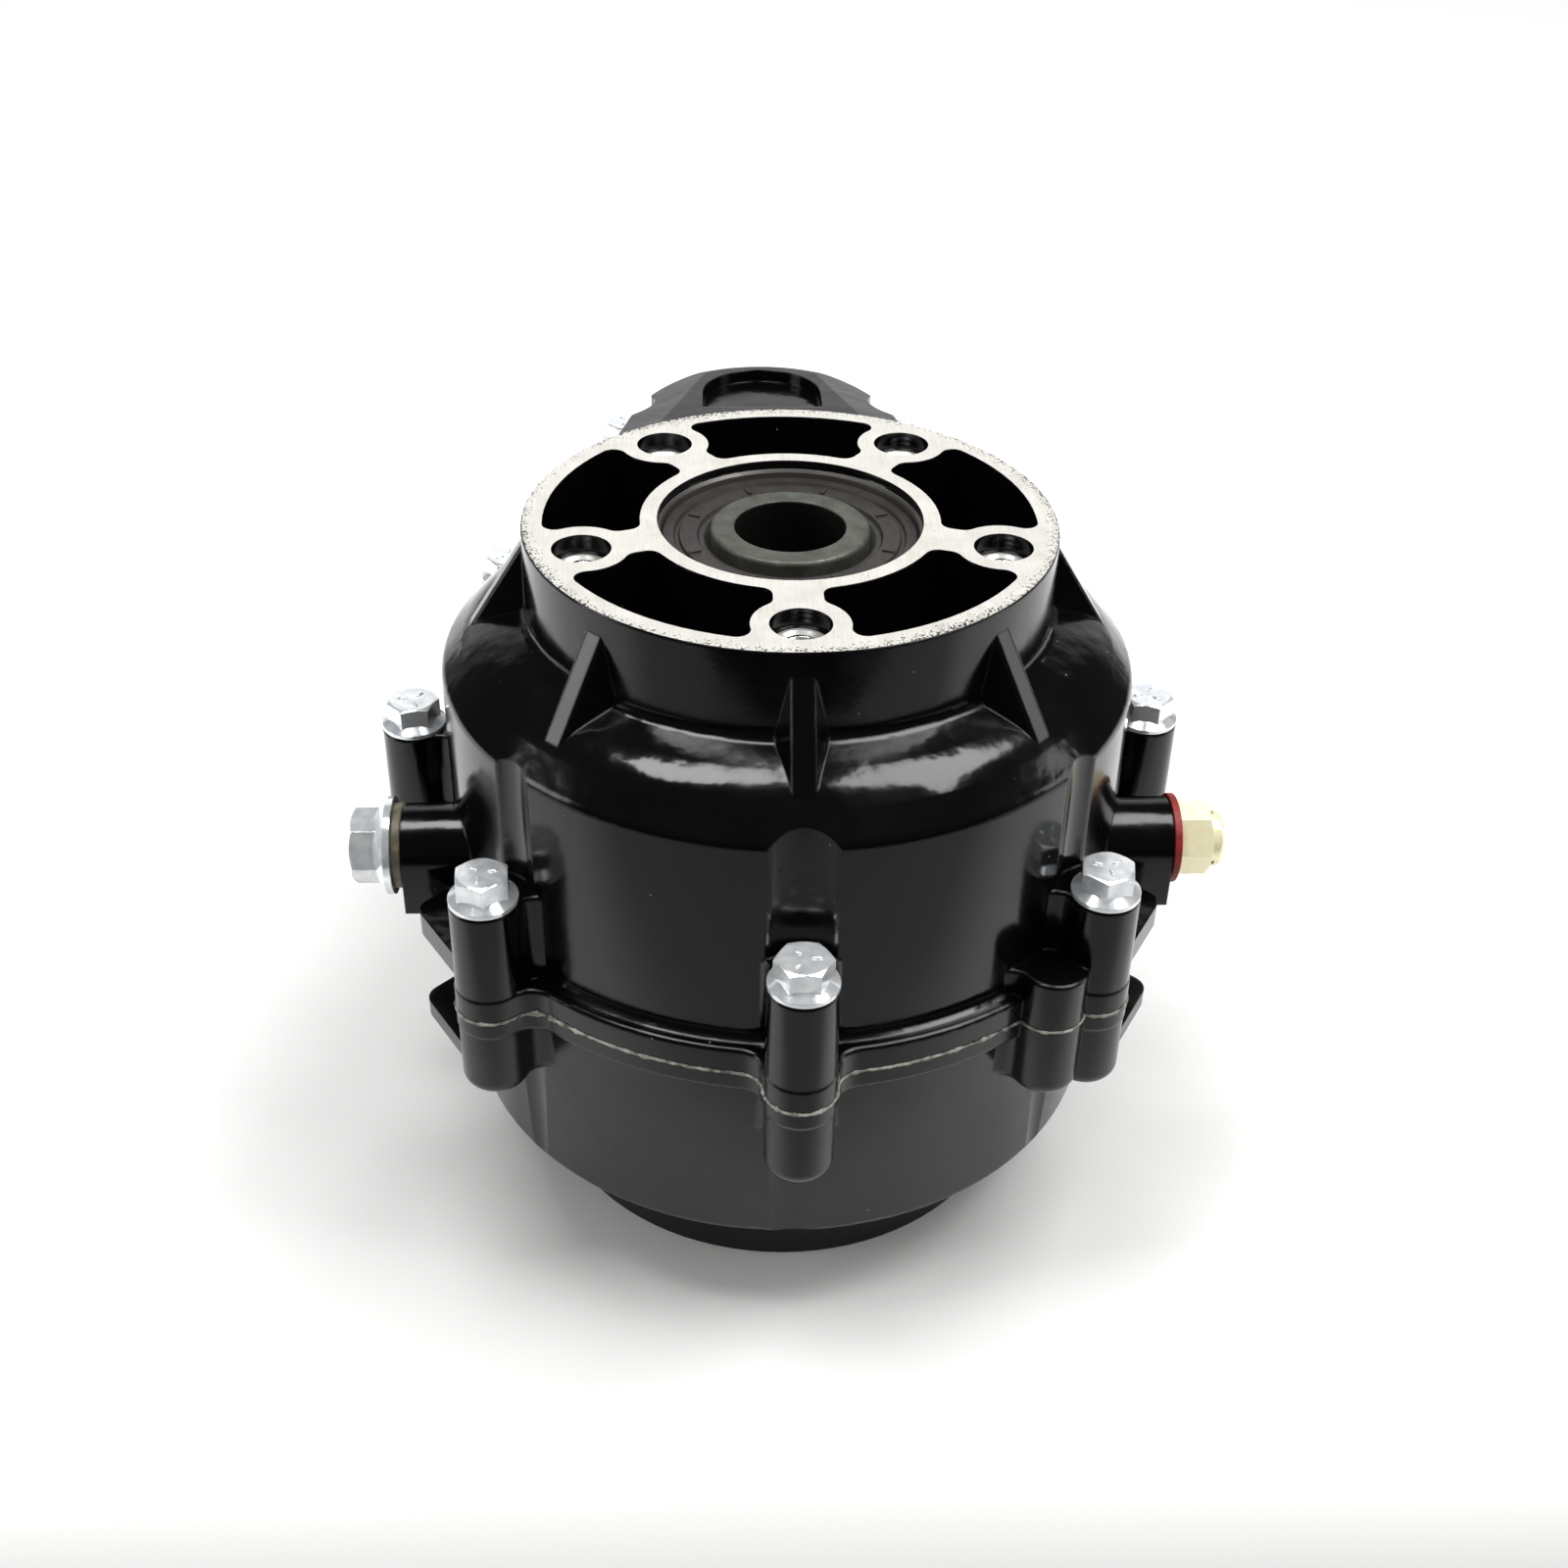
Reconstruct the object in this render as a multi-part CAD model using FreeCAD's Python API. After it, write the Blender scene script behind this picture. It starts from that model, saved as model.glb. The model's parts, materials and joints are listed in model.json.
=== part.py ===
import FreeCAD, Part
import os
from math import acos, asin, atan, atan2, cos, degrees, hypot, pi, radians, sin, sqrt, tan

# Rear-axle reduction gearbox with a bevel differential, in millimetres.
# Frame: Z is the axle axis and z = 0 is the lower axle flange. The motor side is +Y.

# ---- gear train -------------------------------------------------------------------------
final_module = 2.5
ring_teeth = 64
pinion_teeth = 16
first_module = 2.0
intermediate_teeth = 56
input_teeth = 34
pressure_angle = radians(20.0)
dedendum = 1.25
addendum = 0.97
flank_step = 0.35
coarse_teeth = 40
tooth_backlash = 0.30
ring_width = 22.0
pinion_overlap = 2.0
intermediate_width = 16.0
gear_clearance = 3.0
level_gap = 4.0

ring_pitch_radius = final_module * ring_teeth / 2
intermediate_y = final_module * (ring_teeth + pinion_teeth) / 2
input_y = intermediate_y + first_module * (intermediate_teeth + input_teeth) / 2

# ---- cast case --------------------------------------------------------------------------
case_height = 200.0
split_height = 94.0
gasket_thickness = 0.6
drum_wall = 7.5
hood_wall = 8.5
hood_inset = 0.4
lower_draft = 1.5
drum_cavity_radius = ring_pitch_radius + final_module + gear_clearance
drum_radius = drum_cavity_radius + drum_wall
hood_cavity_radius = first_module * (input_teeth / 2 + 1) + gear_clearance
hood_radius = hood_cavity_radius + hood_wall
flange_rise = 23.7
shoulder_height = case_height - flange_rise
shoulder_step_radius = 83.5
shoulder_step = 5.0
shoulder_drop = 15.3
shoulder_round = 22.0
crease_height = shoulder_height - shoulder_drop
crease_fillet = 3.5
flange_edge_fillet = 0.6
cavity_fillet = 4.0
cavity_ceiling_drop = 10.0
bearing_ceiling_rise = 9.0
hub_boss_rise = 14.0
boss_bite = 3.0
hood_draft = 2.0
lower_edge_fillet = 2.5
lower_floor_height = 31.0
floor_thickness = 6.0
roof_height = 146.5
roof_thickness = 9.5
rear_floor_height = 38.0
rim_reach = 4.5
rim_boss_reach = 0.3
rim_upper = 7.5
rim_lower = 5.5
cast_fillet = 3.0

# ---- axle flanges, the same on both ends ------------------------------------------------
flange_radius = 70.0
flange_hole_circle = 112.7
flange_hole_count = 5
flange_hole_start = 270.0
flange_thread_radius = 4.5
flange_thread_depth = 28.0
flange_mouth_radius = 7.65
flange_mouth_depth = 5.0
flange_boss_radius = 12.2
window_outer_radius = 64.5
window_inner_radius = 39.2
window_depth = 26.0
spoke_width = 12.4
window_corner_inside = 2.5
window_corner_outside = 3.5
flange_mouth_cone = 1.3

# ---- ribs under the upper flange --------------------------------------------------------
rib_count = 8
rib_drop = 6.5
rib_top_height = case_height - rib_drop
rib_toe_rise = 2.0
rib_crest = 5.0
rib_depth = 26.0
rib_bite = 3.0
rib_reach = 89.0
rib_edge_width = 5.6
rib_root_width = 27.0
rib_edge_fillet = 1.2

# ---- case bolts and their bosses --------------------------------------------------------
bolt_places = [(0.0, -102.3), (-78.8, -67.4), (78.8, -67.4), (-105.2, 15.4), (105.2, 15.4),
               (-84.5, 103.0), (84.5, 103.0), (-49.3, 208.0), (49.3, 208.0)]
bolt_turns = [0.0, -26.0, 20.0, 10.0, -14.0, 5.0, 22.0, 12.0, -8.0]
bolt_shank_radius = 4.0
bolt_clearance = 0.5
bolt_flange_radius = 8.95
bolt_across_flats = 13.0
bolt_head_height = 8.1
bolt_rim = 1.1
bolt_cone = 2.6
hexagon_face_share = 0.95
hexagon_chamfer = 0.5
bolt_bite = 18.0
bolt_end_space = 2.0
boss_radius = 9.0
boss_top = 127.5
boss_bottom = 68.3
boss_end_fillet = 4.0
pad_bite = 0.15
pad_root = 12.0
boss_edge_fillet = 1.0
scallop_radius = 12.6
hood_scallop_radius = 10.5
scallop_round = 3.5
scallop_bite = 0.05
scallop_reach = 30.0
scallop_least = 1.0
rim_blend = 7.0
column_blend = 5.0
rim_fillet = 1.2
rim_cove = 3.2
rim_cove_steps = 4
dowel_places = [(66.5, -74.0), (-69.5, 150.0)]
dowel_boss_top = 109.0
dowel_boss_bottom = 71.0
dowel_radius = 3.0
dowel_length = 20.0
dowel_chamfer = 0.5

# ---- ears, drain plug and breather ------------------------------------------------------
ear_outline = [(74.0, -64.0, 0), (86.5, -68.5, 0), (99.8, -46.2, 5.0), (85.0, -31.5, 0), (72.0, -34.0, 0)]
ear_thickness = 7.0
ear_upper_top = 109.0
lower_ear_thickness = 5.0
lower_ear_top = 79.0
port_y = -26.5
port_rise = 21.0
port_height = split_height + port_rise
port_inset = 12.0
port_foot_bite = 1.2
port_hole_reach = 14.0
port_turn = 26.0
port_boss_radius = 11.5
port_face = 104.0
port_thread_radius = 6.0
plug_washer_thickness = 2.6
plug_washer_radius = 11.6
plug_flange_radius = 13.3
plug_across_flats = 18.0
plug_head_height = 11.4
plug_rim = 1.9
plug_shank = 20.0
breather_washer_radius = 12.3
breather_washer_thickness = 2.1
breather_across_flats = 17.5
breather_hex_height = 9.6
breather_cap_radius = 8.0
breather_cap_height = 3.2
breather_shank = 16.0
breather_vent_radius = 1.5
breather_spigot_inset = 2.5
breather_cap_wall = 2.4
breather_cap_recess = 1.4
breather_cap_round = 1.6
breather_notch_count = 3
breather_notch_half = 0.9
washer_bore_gap = 0.3

# ---- oil seals and bearings -------------------------------------------------------------
fit_gap = 0.01
running_gap = 0.06
seal_outer_radius = 34.0
seal_depth = 4.5
seal_thickness = 10.0
# (distance in from the outer edge, depth) and (distance out from the journal, depth)
seal_rim_profile = [(0.0, 0.8), (0.8, 0.0), (3.4, 0.0), (3.9, 0.9), (4.7, 0.9), (5.1, 0.2)]
seal_lip_profile = [(3.4, 0.4), (2.8, 1.3), (1.6, 1.3), (0.0, 2.6), (0.0, 3.4), (1.6, 4.6), (3.4, 6.0),
                    (3.4, 8.6)]
seal_shell_width = 6.0
seal_mark_count = 8
seal_mark_inner = 8.6
seal_mark_outer = 5.4
seal_mark_width = 1.0
seal_mark_rise = 0.15
seal_mark_root = 0.8
spigot_radius = 34.8
spigot_depth = 2.3
land_radius = 31.0
land_length = 13.5
bore_run_out = 30.0
main_bore = 22.5
main_outer = 37.5
main_width = 16.0
main_balls = 10
hub_radius = 44.0
shaft_bore = 10.0
shaft_outer = 23.5
shaft_width = 14.0
shaft_boss_radius = 30.0
hub_bore = 15.0
hub_outer = 27.5
hub_width = 13.0
hub_boss_radius = 34.0
relief_depth = 1.0
shaft_relief_radius = 20.0
hub_relief_radius = 23.0
ball_share = 0.3
land_share = 0.62
shield_thickness = 0.8
shield_gap = 0.3
shield_inset = 0.6

# ---- differential -----------------------------------------------------------------------
journal_radius = 21.0
journal_bore = 14.5
journal_end_gap = 2.5
neck_radius = 27.0
cup_radius = 38.0
cup_cavity_radius = 30.5
cup_head = 8.0
cup_shoulder = 6.0
cup_slope = 9.0
cup_slope_fillet = 4.0
cup_edge_fillet = 2.0
neck_fillet = 6.0
cover_fillet = 5.0
case_edge_fillet = 1.5
journal_bore_edge = 0.6
journal_edge = 1.2
bearing_relief = 0.5
hub_end_gap = 0.5
side_pocket_inset = 4.0
ring_bolt_gap = 0.25
case_flange_radius = 60.0
case_flange_thickness = 10.0
cup_flange_thickness = 6.0
ring_web_thickness = 10.0
ring_rim_inner = 68.0
ring_bottom = 66.0
ring_bolt_circle = 100.0
ring_bolt_count = 8
ring_bolt_head = 5.3
bevel_module = 3.0
side_teeth = 16
planet_teeth = 10
bevel_face = 9.0
bevel_backlash = 0.5
bevel_addendum = 0.88
bevel_root_slope = 0.1
bevel_tooth_root = 1.45
side_rim = (1.0, 0.8)
planet_rim = 0.8
side_bore = 11.5
side_spline_depth = 1.3
side_spline_width = 2.4
side_spline_count = 12
side_back = 25.0
side_hub_radius = 18.0
side_hub_length = 7.5
thrust_washer = 0.9
thrust_space = 1.0
thrust_gap = 0.05
planet_washer_radius = 13.0
washer_edge_gap = 0.6
planet_pin_radius = 6.0
planet_back_radius = 29.4
lock_pin_radius = 1.5
lock_pin_length = 18.0
lock_pin_y = (cup_cavity_radius + cup_radius) / 2

# ---- intermediate shaft and input gear --------------------------------------------------
shaft_collar_radius = 16.0
gear_seat_radius = 13.0
key_width = 8.0
key_height = 7.0
circlip_thickness = 1.2
circlip_groove_depth = 0.9
circlip_reach = 3.0
input_shoulder_radius = 19.0
input_spline_radius = 8.5
input_spline_depth = 1.5
input_spline_width = 2.6
input_spline_count = 8
input_seal_outer = 23.5
input_seal_thickness = 7.0
input_seal_land = 3.0
input_seal_edge = 0.6
input_seal_shell = 2.0
input_seal_web = 5.0
input_lip_profile = [(2.2, 0.0), (0.0, 2.4), (0.0, 3.2), (2.2, 5.0)]
motor_pilot_radius = 31.0
motor_pilot_depth = 8.0
motor_pad_radius = 62.0
motor_pad_thickness = 12.0
motor_pad_fillet = 2.0
motor_post_floor = 4.0
motor_hole_circle = 104.0
motor_hole_count = 4
motor_hole_start = 45.0
motor_thread_radius = 3.6
motor_thread_depth = 14.0
motor_post_radius = 8.0
gear_web_outer = 46.0
gear_web_inner = 21.0
gear_web_recess = 4.0
key_end_gap = 1.0
key_slot_run = 3.0
shaft_end_chamfer = 1.0
groove_gap = 0.1
circlip_gap_half = 3.0
input_end_wall = 6.0

# ---- hood recess ------------------------------------------------------------------------
recess_half_width = 21.5
recess_front = 196.0
recess_back = 230.0
recess_depth = 4.5
facet_line = [(22.4, 221.6), (32.8, 193.0)]
facet_slope = radians(14.0)
roof_fillet = 5.0
facet_block = 200.0

# ---- heights that follow from the sizes above -------------------------------------------
upper_joint = split_height + gasket_thickness / 2
lower_joint = split_height - gasket_thickness / 2
lower_bearing = seal_depth + seal_thickness + land_length
upper_bearing = case_height - lower_bearing - main_width
diff_height = ring_bottom + side_back + thrust_space
cup_top = diff_height + side_back + thrust_space
case_bottom = ring_bottom - case_flange_thickness
ring_web_bottom = ring_bottom + cup_flange_thickness
pinion_bottom = ring_bottom - pinion_overlap
pinion_top = ring_bottom + ring_width + pinion_overlap
train_bottom = ring_bottom + ring_width + level_gap
train_top = train_bottom + intermediate_width
train_bearing = train_top + level_gap
shaft_bearing = pinion_bottom - 2.0 - shaft_width
hub_bearing = rear_floor_height + motor_pilot_depth + input_seal_thickness + input_seal_land
rear_ceiling = roof_height - roof_thickness
lower_cavity_floor = lower_floor_height + floor_thickness
rear_cavity_floor = rear_floor_height + floor_thickness


def vec(x, y, z):
    return FreeCAD.Vector(x, y, z)


UP = vec(0, 0, 1)
seam_angle = radians(111.0)


def cylinder(radius, bottom, top, x=0.0, y=0.0):
    return Part.makeCylinder(radius, top - bottom, vec(x, y, bottom), UP)


def box(x0, x1, y0, y1, z0, z1):
    return Part.makeBox(x1 - x0, y1 - y0, z1 - z0, vec(x0, y0, z0))


def rounded_wire(corners, place):
    # A closed outline of (a, b, radius) corners; place maps (a, b) into space.
    edges = []
    count = len(corners)
    starts = []
    ends = []
    middles = []
    for i in range(count):
        ax, ay, radius = corners[i]
        px, py = corners[i - 1][:2]
        nx, ny = corners[(i + 1) % count][:2]
        back = hypot(px - ax, py - ay)
        ahead = hypot(nx - ax, ny - ay)
        bx, by = (px - ax) / back, (py - ay) / back
        fx, fy = (nx - ax) / ahead, (ny - ay) / ahead
        if radius == 0:
            starts.append((ax, ay))
            ends.append((ax, ay))
            middles.append(None)
            continue
        half = acos(max(-1.0, min(1.0, bx * fx + by * fy))) / 2
        run = radius / tan(half)
        mx, my = bx + fx, by + fy
        length = hypot(mx, my)
        reach = radius / sin(half) - radius
        starts.append((ax + bx * run, ay + by * run))
        ends.append((ax + fx * run, ay + fy * run))
        middles.append((ax + mx / length * reach, ay + my / length * reach))
    for i in range(count):
        if middles[i] is not None:
            arc = Part.Arc(place(*starts[i]), place(*middles[i]), place(*ends[i]))
            edges.append(arc.toShape())
        following = starts[(i + 1) % count]
        if hypot(following[0] - ends[i][0], following[1] - ends[i][1]) > 1e-6:
            edges.append(Part.LineSegment(place(*ends[i]), place(*following)).toShape())
    return Part.Wire(edges)


def turned(corners, x=0.0, y=0.0):
    # A turned solid from a half section of (radius, height, fillet) corners.
    ux, uy = cos(seam_angle), sin(seam_angle)
    wire = rounded_wire(corners, lambda r, z: vec(x + r * ux, y + r * uy, z))
    return Part.Face(wire).revolve(vec(x, y, 0), UP, 360)


def plate(corners, bottom, top):
    wire = rounded_wire(corners, lambda a, b: vec(a, b, bottom))
    return Part.Face(wire).extrude(vec(0, 0, top - bottom))


def merged(shapes):
    return shapes[0].multiFuse(shapes[1:]).removeSplitter()


def single(shape):
    return shape.Solids[0] if len(shape.Solids) == 1 else shape


def around(shape, angle, x=0.0, y=0.0):
    copy = shape.copy()
    copy.rotate(vec(x, y, 0), UP, angle)
    return copy


class CaseWall:
    # The case outline seen along the axle: an arc round the drum, an arc round the hood and their
    # common tangents. A run is a length along it, anticlockwise from the rear end.

    def __init__(self, front, rear):
        self.front = front
        self.rear = rear
        self.tilt = asin((front - rear) / input_y)
        hood = rear * (pi / 2 - self.tilt)
        side = input_y * cos(self.tilt)
        drum = front * (pi + 2 * self.tilt)
        self.ends = [0.0, hood, hood + side, hood + side + drum, hood + 2 * side + drum,
                     2 * hood + 2 * side + drum]

    def foot(self, x, y):
        # Where the wall's normal through a point meets the line between the two axes.
        return max(0.0, min(input_y, y - abs(x) * tan(self.tilt)))

    def radius(self, foot):
        return self.front + (self.rear - self.front) * foot / input_y

    def distance(self, x, y):
        foot = self.foot(x, y)
        return hypot(x, y - foot) - self.radius(foot)

    def outward(self, x, y):
        return atan2(y - self.foot(x, y), x)

    def run_at(self, x, y):
        foot = self.foot(x, y)
        angle = self.outward(x, y) % (2 * pi)
        if foot <= 0:
            return self.ends[2] + self.front * ((angle - pi + self.tilt) % (2 * pi))
        if foot >= input_y:
            return self.rear * (angle - pi / 2) if x < 0 else self.ends[5] - self.rear * (pi / 2 - angle)
        if x < 0:
            return self.ends[1] + (input_y - foot) * cos(self.tilt)
        return self.ends[3] + foot * cos(self.tilt)

    def point(self, run, height):
        ends = self.ends
        if run <= ends[1]:
            foot, angle = input_y, pi / 2 + run / self.rear
        elif run <= ends[2]:
            foot, angle = input_y - (run - ends[1]) / cos(self.tilt), pi - self.tilt
        elif run <= ends[3]:
            foot, angle = 0.0, pi - self.tilt + (run - ends[2]) / self.front
        elif run <= ends[4]:
            foot, angle = (run - ends[3]) / cos(self.tilt), self.tilt
        else:
            foot, angle = input_y, pi / 2 - (ends[5] - run) / self.rear
        return vec(self.radius(foot) * cos(angle), foot + self.radius(foot) * sin(angle), height)

    def path(self, start, end, height):
        cuts = [start] + [e for e in self.ends[1:5] if start + 0.5 < e < end - 0.5] + [end]
        edges = []
        for a, b in zip(cuts, cuts[1:]):
            middle = (a + b) / 2
            straight = self.ends[1] < middle < self.ends[2] or self.ends[3] < middle < self.ends[4]
            first, last = self.point(a, height), self.point(b, height)
            if straight:
                edges.append(Part.LineSegment(first, last).toShape())
            else:
                edges.append(Part.Arc(first, self.point(middle, height), last).toShape())
        return edges

    def blend_centre(self, x, y, boss, blend, side, height):
        # The centre of the fillet between a round boss and the wall, on one side of the boss.
        low, high = 0.0, pi
        for _ in range(40):
            turn = self.outward(x, y) + side * (low + high) / 2
            cx = x + (boss + blend) * cos(turn)
            cy = y + (boss + blend) * sin(turn)
            if self.distance(cx, cy) > blend:
                low = (low + high) / 2
            else:
                high = (low + high) / 2
        return vec(cx, cy, height)

    def outline(self, height, places=(), boss=0.0, blend=0.0):
        # The closed outline, with a round boss at each place joined to the wall by two fillets.
        edges = []
        run = 0.0
        for x, y in sorted(places, key=lambda place: self.run_at(*place)):
            centre = vec(x, y, height)
            tip = centre + vec(cos(self.outward(x, y)), sin(self.outward(x, y)), 0) * boss
            arcs = []
            for side in (-1, 1):
                corner = self.blend_centre(x, y, boss, blend, side, height)
                on_wall = self.point(self.run_at(corner.x, corner.y), height)
                on_boss = centre + (corner - centre) * (boss / (boss + blend))
                middle = corner + ((on_wall + on_boss) / 2 - corner).normalize() * blend
                arcs.append([on_wall, middle, on_boss])
            edges += self.path(run, self.run_at(*arcs[0][0][:2]), height)
            edges.append(Part.Arc(*arcs[0]).toShape())
            edges.append(Part.Arc(arcs[0][2], tip, arcs[1][2]).toShape())
            edges.append(Part.Arc(*arcs[1][::-1]).toShape())
            run = self.run_at(*arcs[1][0][:2])
        return Part.Wire(edges + self.path(run, self.ends[5], height))

    def pad(self, x, y, boss, blend, height):
        # One boss alone, with its two fillets, closed inside the wall.
        centre = vec(x, y, height)
        tip = centre + vec(cos(self.outward(x, y)), sin(self.outward(x, y)), 0) * boss
        arcs = []
        roots = []
        for side in (-1, 1):
            corner = self.blend_centre(x, y, boss, blend, side, height)
            inward = (vec(0, self.foot(corner.x, corner.y), height) - corner).normalize()
            on_wall = corner + inward * blend
            on_boss = centre + (corner - centre) * (boss / (boss + blend))
            middle = corner + ((on_wall + on_boss) / 2 - corner).normalize() * blend
            arcs.append([on_wall, middle, on_boss])
            roots.append(on_wall + inward * pad_root)
        edges = [Part.Arc(*arcs[0]), Part.Arc(arcs[0][2], tip, arcs[1][2]), Part.Arc(*arcs[1][::-1]),
                 Part.LineSegment(arcs[1][0], roots[1]), Part.LineSegment(roots[1], roots[0]),
                 Part.LineSegment(roots[0], arcs[0][0])]
        return Part.Face(Part.Wire([edge.toShape() for edge in edges]))

    def hollow(self, x, y, radius, blend, height):
        # A round hollow cut into the wall, with a rounded edge on each side, open to the outside.
        centre = vec(x, y, height)
        deepest = centre - vec(cos(self.outward(x, y)), sin(self.outward(x, y)), 0) * radius
        arcs = []
        roots = []
        for side in (-1, 1):
            low, high = 0.0, pi
            for _ in range(40):
                turn = self.outward(x, y) + pi - side * (low + high) / 2
                corner = centre + vec(cos(turn), sin(turn), 0) * (radius + blend)
                if self.distance(corner.x, corner.y) < scallop_bite - blend:
                    low = (low + high) / 2
                else:
                    high = (low + high) / 2
            outward = vec(cos(self.outward(corner.x, corner.y)), sin(self.outward(corner.x, corner.y)), 0)
            on_wall = corner + outward * blend
            in_hollow = centre + (corner - centre) * (radius / (radius + blend))
            middle = corner + ((on_wall + in_hollow) / 2 - corner).normalize() * blend
            arcs.append([on_wall, middle, in_hollow])
            roots.append(on_wall + outward * scallop_reach)
        edges = [Part.Arc(*arcs[0]), Part.Arc(arcs[0][2], deepest, arcs[1][2]), Part.Arc(*arcs[1][::-1]),
                 Part.LineSegment(arcs[1][0], roots[1]), Part.LineSegment(roots[1], roots[0]),
                 Part.LineSegment(roots[0], arcs[0][0])]
        return Part.Face(Part.Wire([edge.toShape() for edge in edges]))

    def hood_outline(self, height):
        # The rear half only, closed by a chord between the ends of the two tangents.
        left, right = self.point(self.ends[2], height), self.point(self.ends[3], height)
        chord = Part.LineSegment(left, right).toShape()
        return Part.Wire(self.path(0, self.ends[2], height) + [chord]
                         + self.path(self.ends[3], self.ends[5], height))


def case_prism(front, rear, bottom, top, places=(), boss=0.0, blend=0.0):
    outline = CaseWall(front, rear).outline(bottom, places, boss, blend)
    return Part.Face(outline).extrude(vec(0, 0, top - bottom))


def rim_prism(bottom, top):
    return case_prism(drum_radius + rim_reach, hood_radius + rim_reach, bottom, top, bolt_places,
                      boss_radius + rim_boss_reach, rim_blend)


def rim_cove_ring(rim_top):
    # A hollow quarter round between the rim's top and the wall, drawn in short slopes.
    wires = []
    for step in range(rim_cove_steps + 1):
        turn = radians(90 * step / rim_cove_steps)
        reach = rim_cove * (1 - sin(turn)) - hood_inset / 2
        height = rim_top + rim_cove * (1 - cos(turn))
        wires.append(CaseWall(drum_radius + reach, hood_radius + reach).outline(height))
    return Part.makeLoft(wires, True, True)


def disc(radius, x, y, height):
    return Part.Face(Part.Wire([Part.Circle(vec(x, y, height), UP, radius).toShape()]))


def edges_at(shape, height):
    return [e for e in shape.Edges
            if abs(e.BoundBox.ZMin - height) < 1e-4 and abs(e.BoundBox.ZMax - height) < 1e-4]


def filleted_at(shape, height, radius):
    return shape.makeFillet(radius, edges_at(shape, height))


def boss_column(wall, x, y, bottom, top, rounded, radius):
    # A boss raised from its pad, with the curved edges of one end rounded.
    column = wall.pad(x, y, boss_radius, column_blend, bottom).extrude(vec(0, 0, top - bottom))
    curved = [e for e in edges_at(column, rounded) if e.Curve.TypeId != "Part::GeomLine"]
    return column.makeFillet(radius, curved)


# ---- gears ------------------------------------------------------------------------------

def involute(angle):
    return tan(angle) - angle


def tooth_half_angle(radius, teeth, module):
    pitch = module * teeth / 2
    base = pitch * cos(pressure_angle)
    here = acos(base / max(radius, base))
    thickness = pi / (2 * teeth) - tooth_backlash / (4 * pitch)
    return thickness + involute(pressure_angle) - involute(here)


def spur_gear(teeth, module, bottom, top, first_tooth, x=0.0, y=0.0):
    # A toothed blank; first_tooth is the direction of one tooth's centre, in degrees.
    pitch = module * teeth / 2
    root = pitch - dedendum * module
    tip = pitch + addendum * module
    step = flank_step * module
    radii = [root, tip] if teeth > coarse_teeth else [root, pitch - step, pitch + step, tip]
    points = []
    for k in range(teeth):
        middle = radians(first_tooth) + 2 * pi * k / teeth
        rising = [(r, middle - tooth_half_angle(r, teeth, module)) for r in radii]
        falling = [(r, middle + tooth_half_angle(r, teeth, module)) for r in reversed(radii)]
        for r, a in rising + falling:
            points.append(vec(x + r * cos(a), y + r * sin(a), bottom))
    wire = Part.makePolygon(points + [points[0]])
    return Part.Face(wire).extrude(vec(0, 0, top - bottom))


def bevel_tooth(teeth, cone):
    # One straight bevel tooth with its apex at the origin, its axis along Z and its middle over +X.
    heel = bevel_module * teeth / 2 / sin(cone)
    toe_share = (heel - bevel_face) / heel
    along = (sin(cone), cos(cone))
    out = (cos(cone), -sin(cone))
    virtual = bevel_module * teeth / 2 / cos(cone)
    half = bevel_module * pi / 4 - bevel_backlash / 2
    right = []
    for rise in (-bevel_tooth_root * bevel_module, 0.0, bevel_addendum * bevel_module):
        slope = tan(pressure_angle) * (1 + rise / (4 * virtual)) if rise > 0 else bevel_root_slope
        right.append((rise, half - rise * slope))
    profile = right + [(rise, -width) for rise, width in reversed(right)]
    heel_points = []
    for rise, width in profile:
        r = along[0] * heel + out[0] * rise
        h = along[1] * heel + out[1] * rise
        heel_points.append(vec(r, width, h))
    toe_points = [p * toe_share for p in heel_points]
    faces = [Part.Face(Part.makePolygon(heel_points + [heel_points[0]])),
             Part.Face(Part.makePolygon(toe_points + [toe_points[0]]))]
    for i in range(len(heel_points)):
        j = (i + 1) % len(heel_points)
        loop = [heel_points[i], heel_points[j], toe_points[j], toe_points[i], heel_points[i]]
        faces.append(Part.Face(Part.makePolygon(loop)))
    tooth = Part.makeSolid(Part.makeShell(faces))
    if tooth.Volume < 0:
        tooth.reverse()
    return tooth


def bevel_sizes(teeth, cone):
    heel = bevel_module * teeth / 2 / sin(cone)
    share = (heel - bevel_face) / heel
    r = bevel_module * teeth / 2 - dedendum * bevel_module * cos(cone)
    h = heel * cos(cone) + dedendum * bevel_module * sin(cone)
    return r, h, share


side_cone = atan(side_teeth / planet_teeth)
planet_cone = atan(planet_teeth / side_teeth)


def side_gear():
    # The side gear above the centre of the differential, with the centre at the origin.
    r, h, share = bevel_sizes(side_teeth, side_cone)
    rim = r + side_rim[0]
    blank = turned([(side_bore, h * share, 0), (r * share, h * share, 0), (r, h, 0),
                    (rim, h + side_rim[1], 0), (rim, side_back, 0), (side_hub_radius, side_back, 0),
                    (side_hub_radius, side_back + side_hub_length, 0),
                    (side_bore, side_back + side_hub_length, 0)])
    tooth = bevel_tooth(side_teeth, side_cone)
    step = 360 / side_teeth
    gear = merged([blank] + [around(tooth, 90 + step * (k + 0.5)) for k in range(side_teeth)])
    reach = side_bore + side_spline_depth
    groove = box(side_bore - 2, reach, -side_spline_width / 2, side_spline_width / 2,
                 0, side_back + side_hub_length + 1)
    for k in range(side_spline_count):
        gear = gear.cut(around(groove, 360 / side_spline_count * k))
    return single(gear.cut(cylinder(side_bore, 0, side_back + side_hub_length + 1)))


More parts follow.
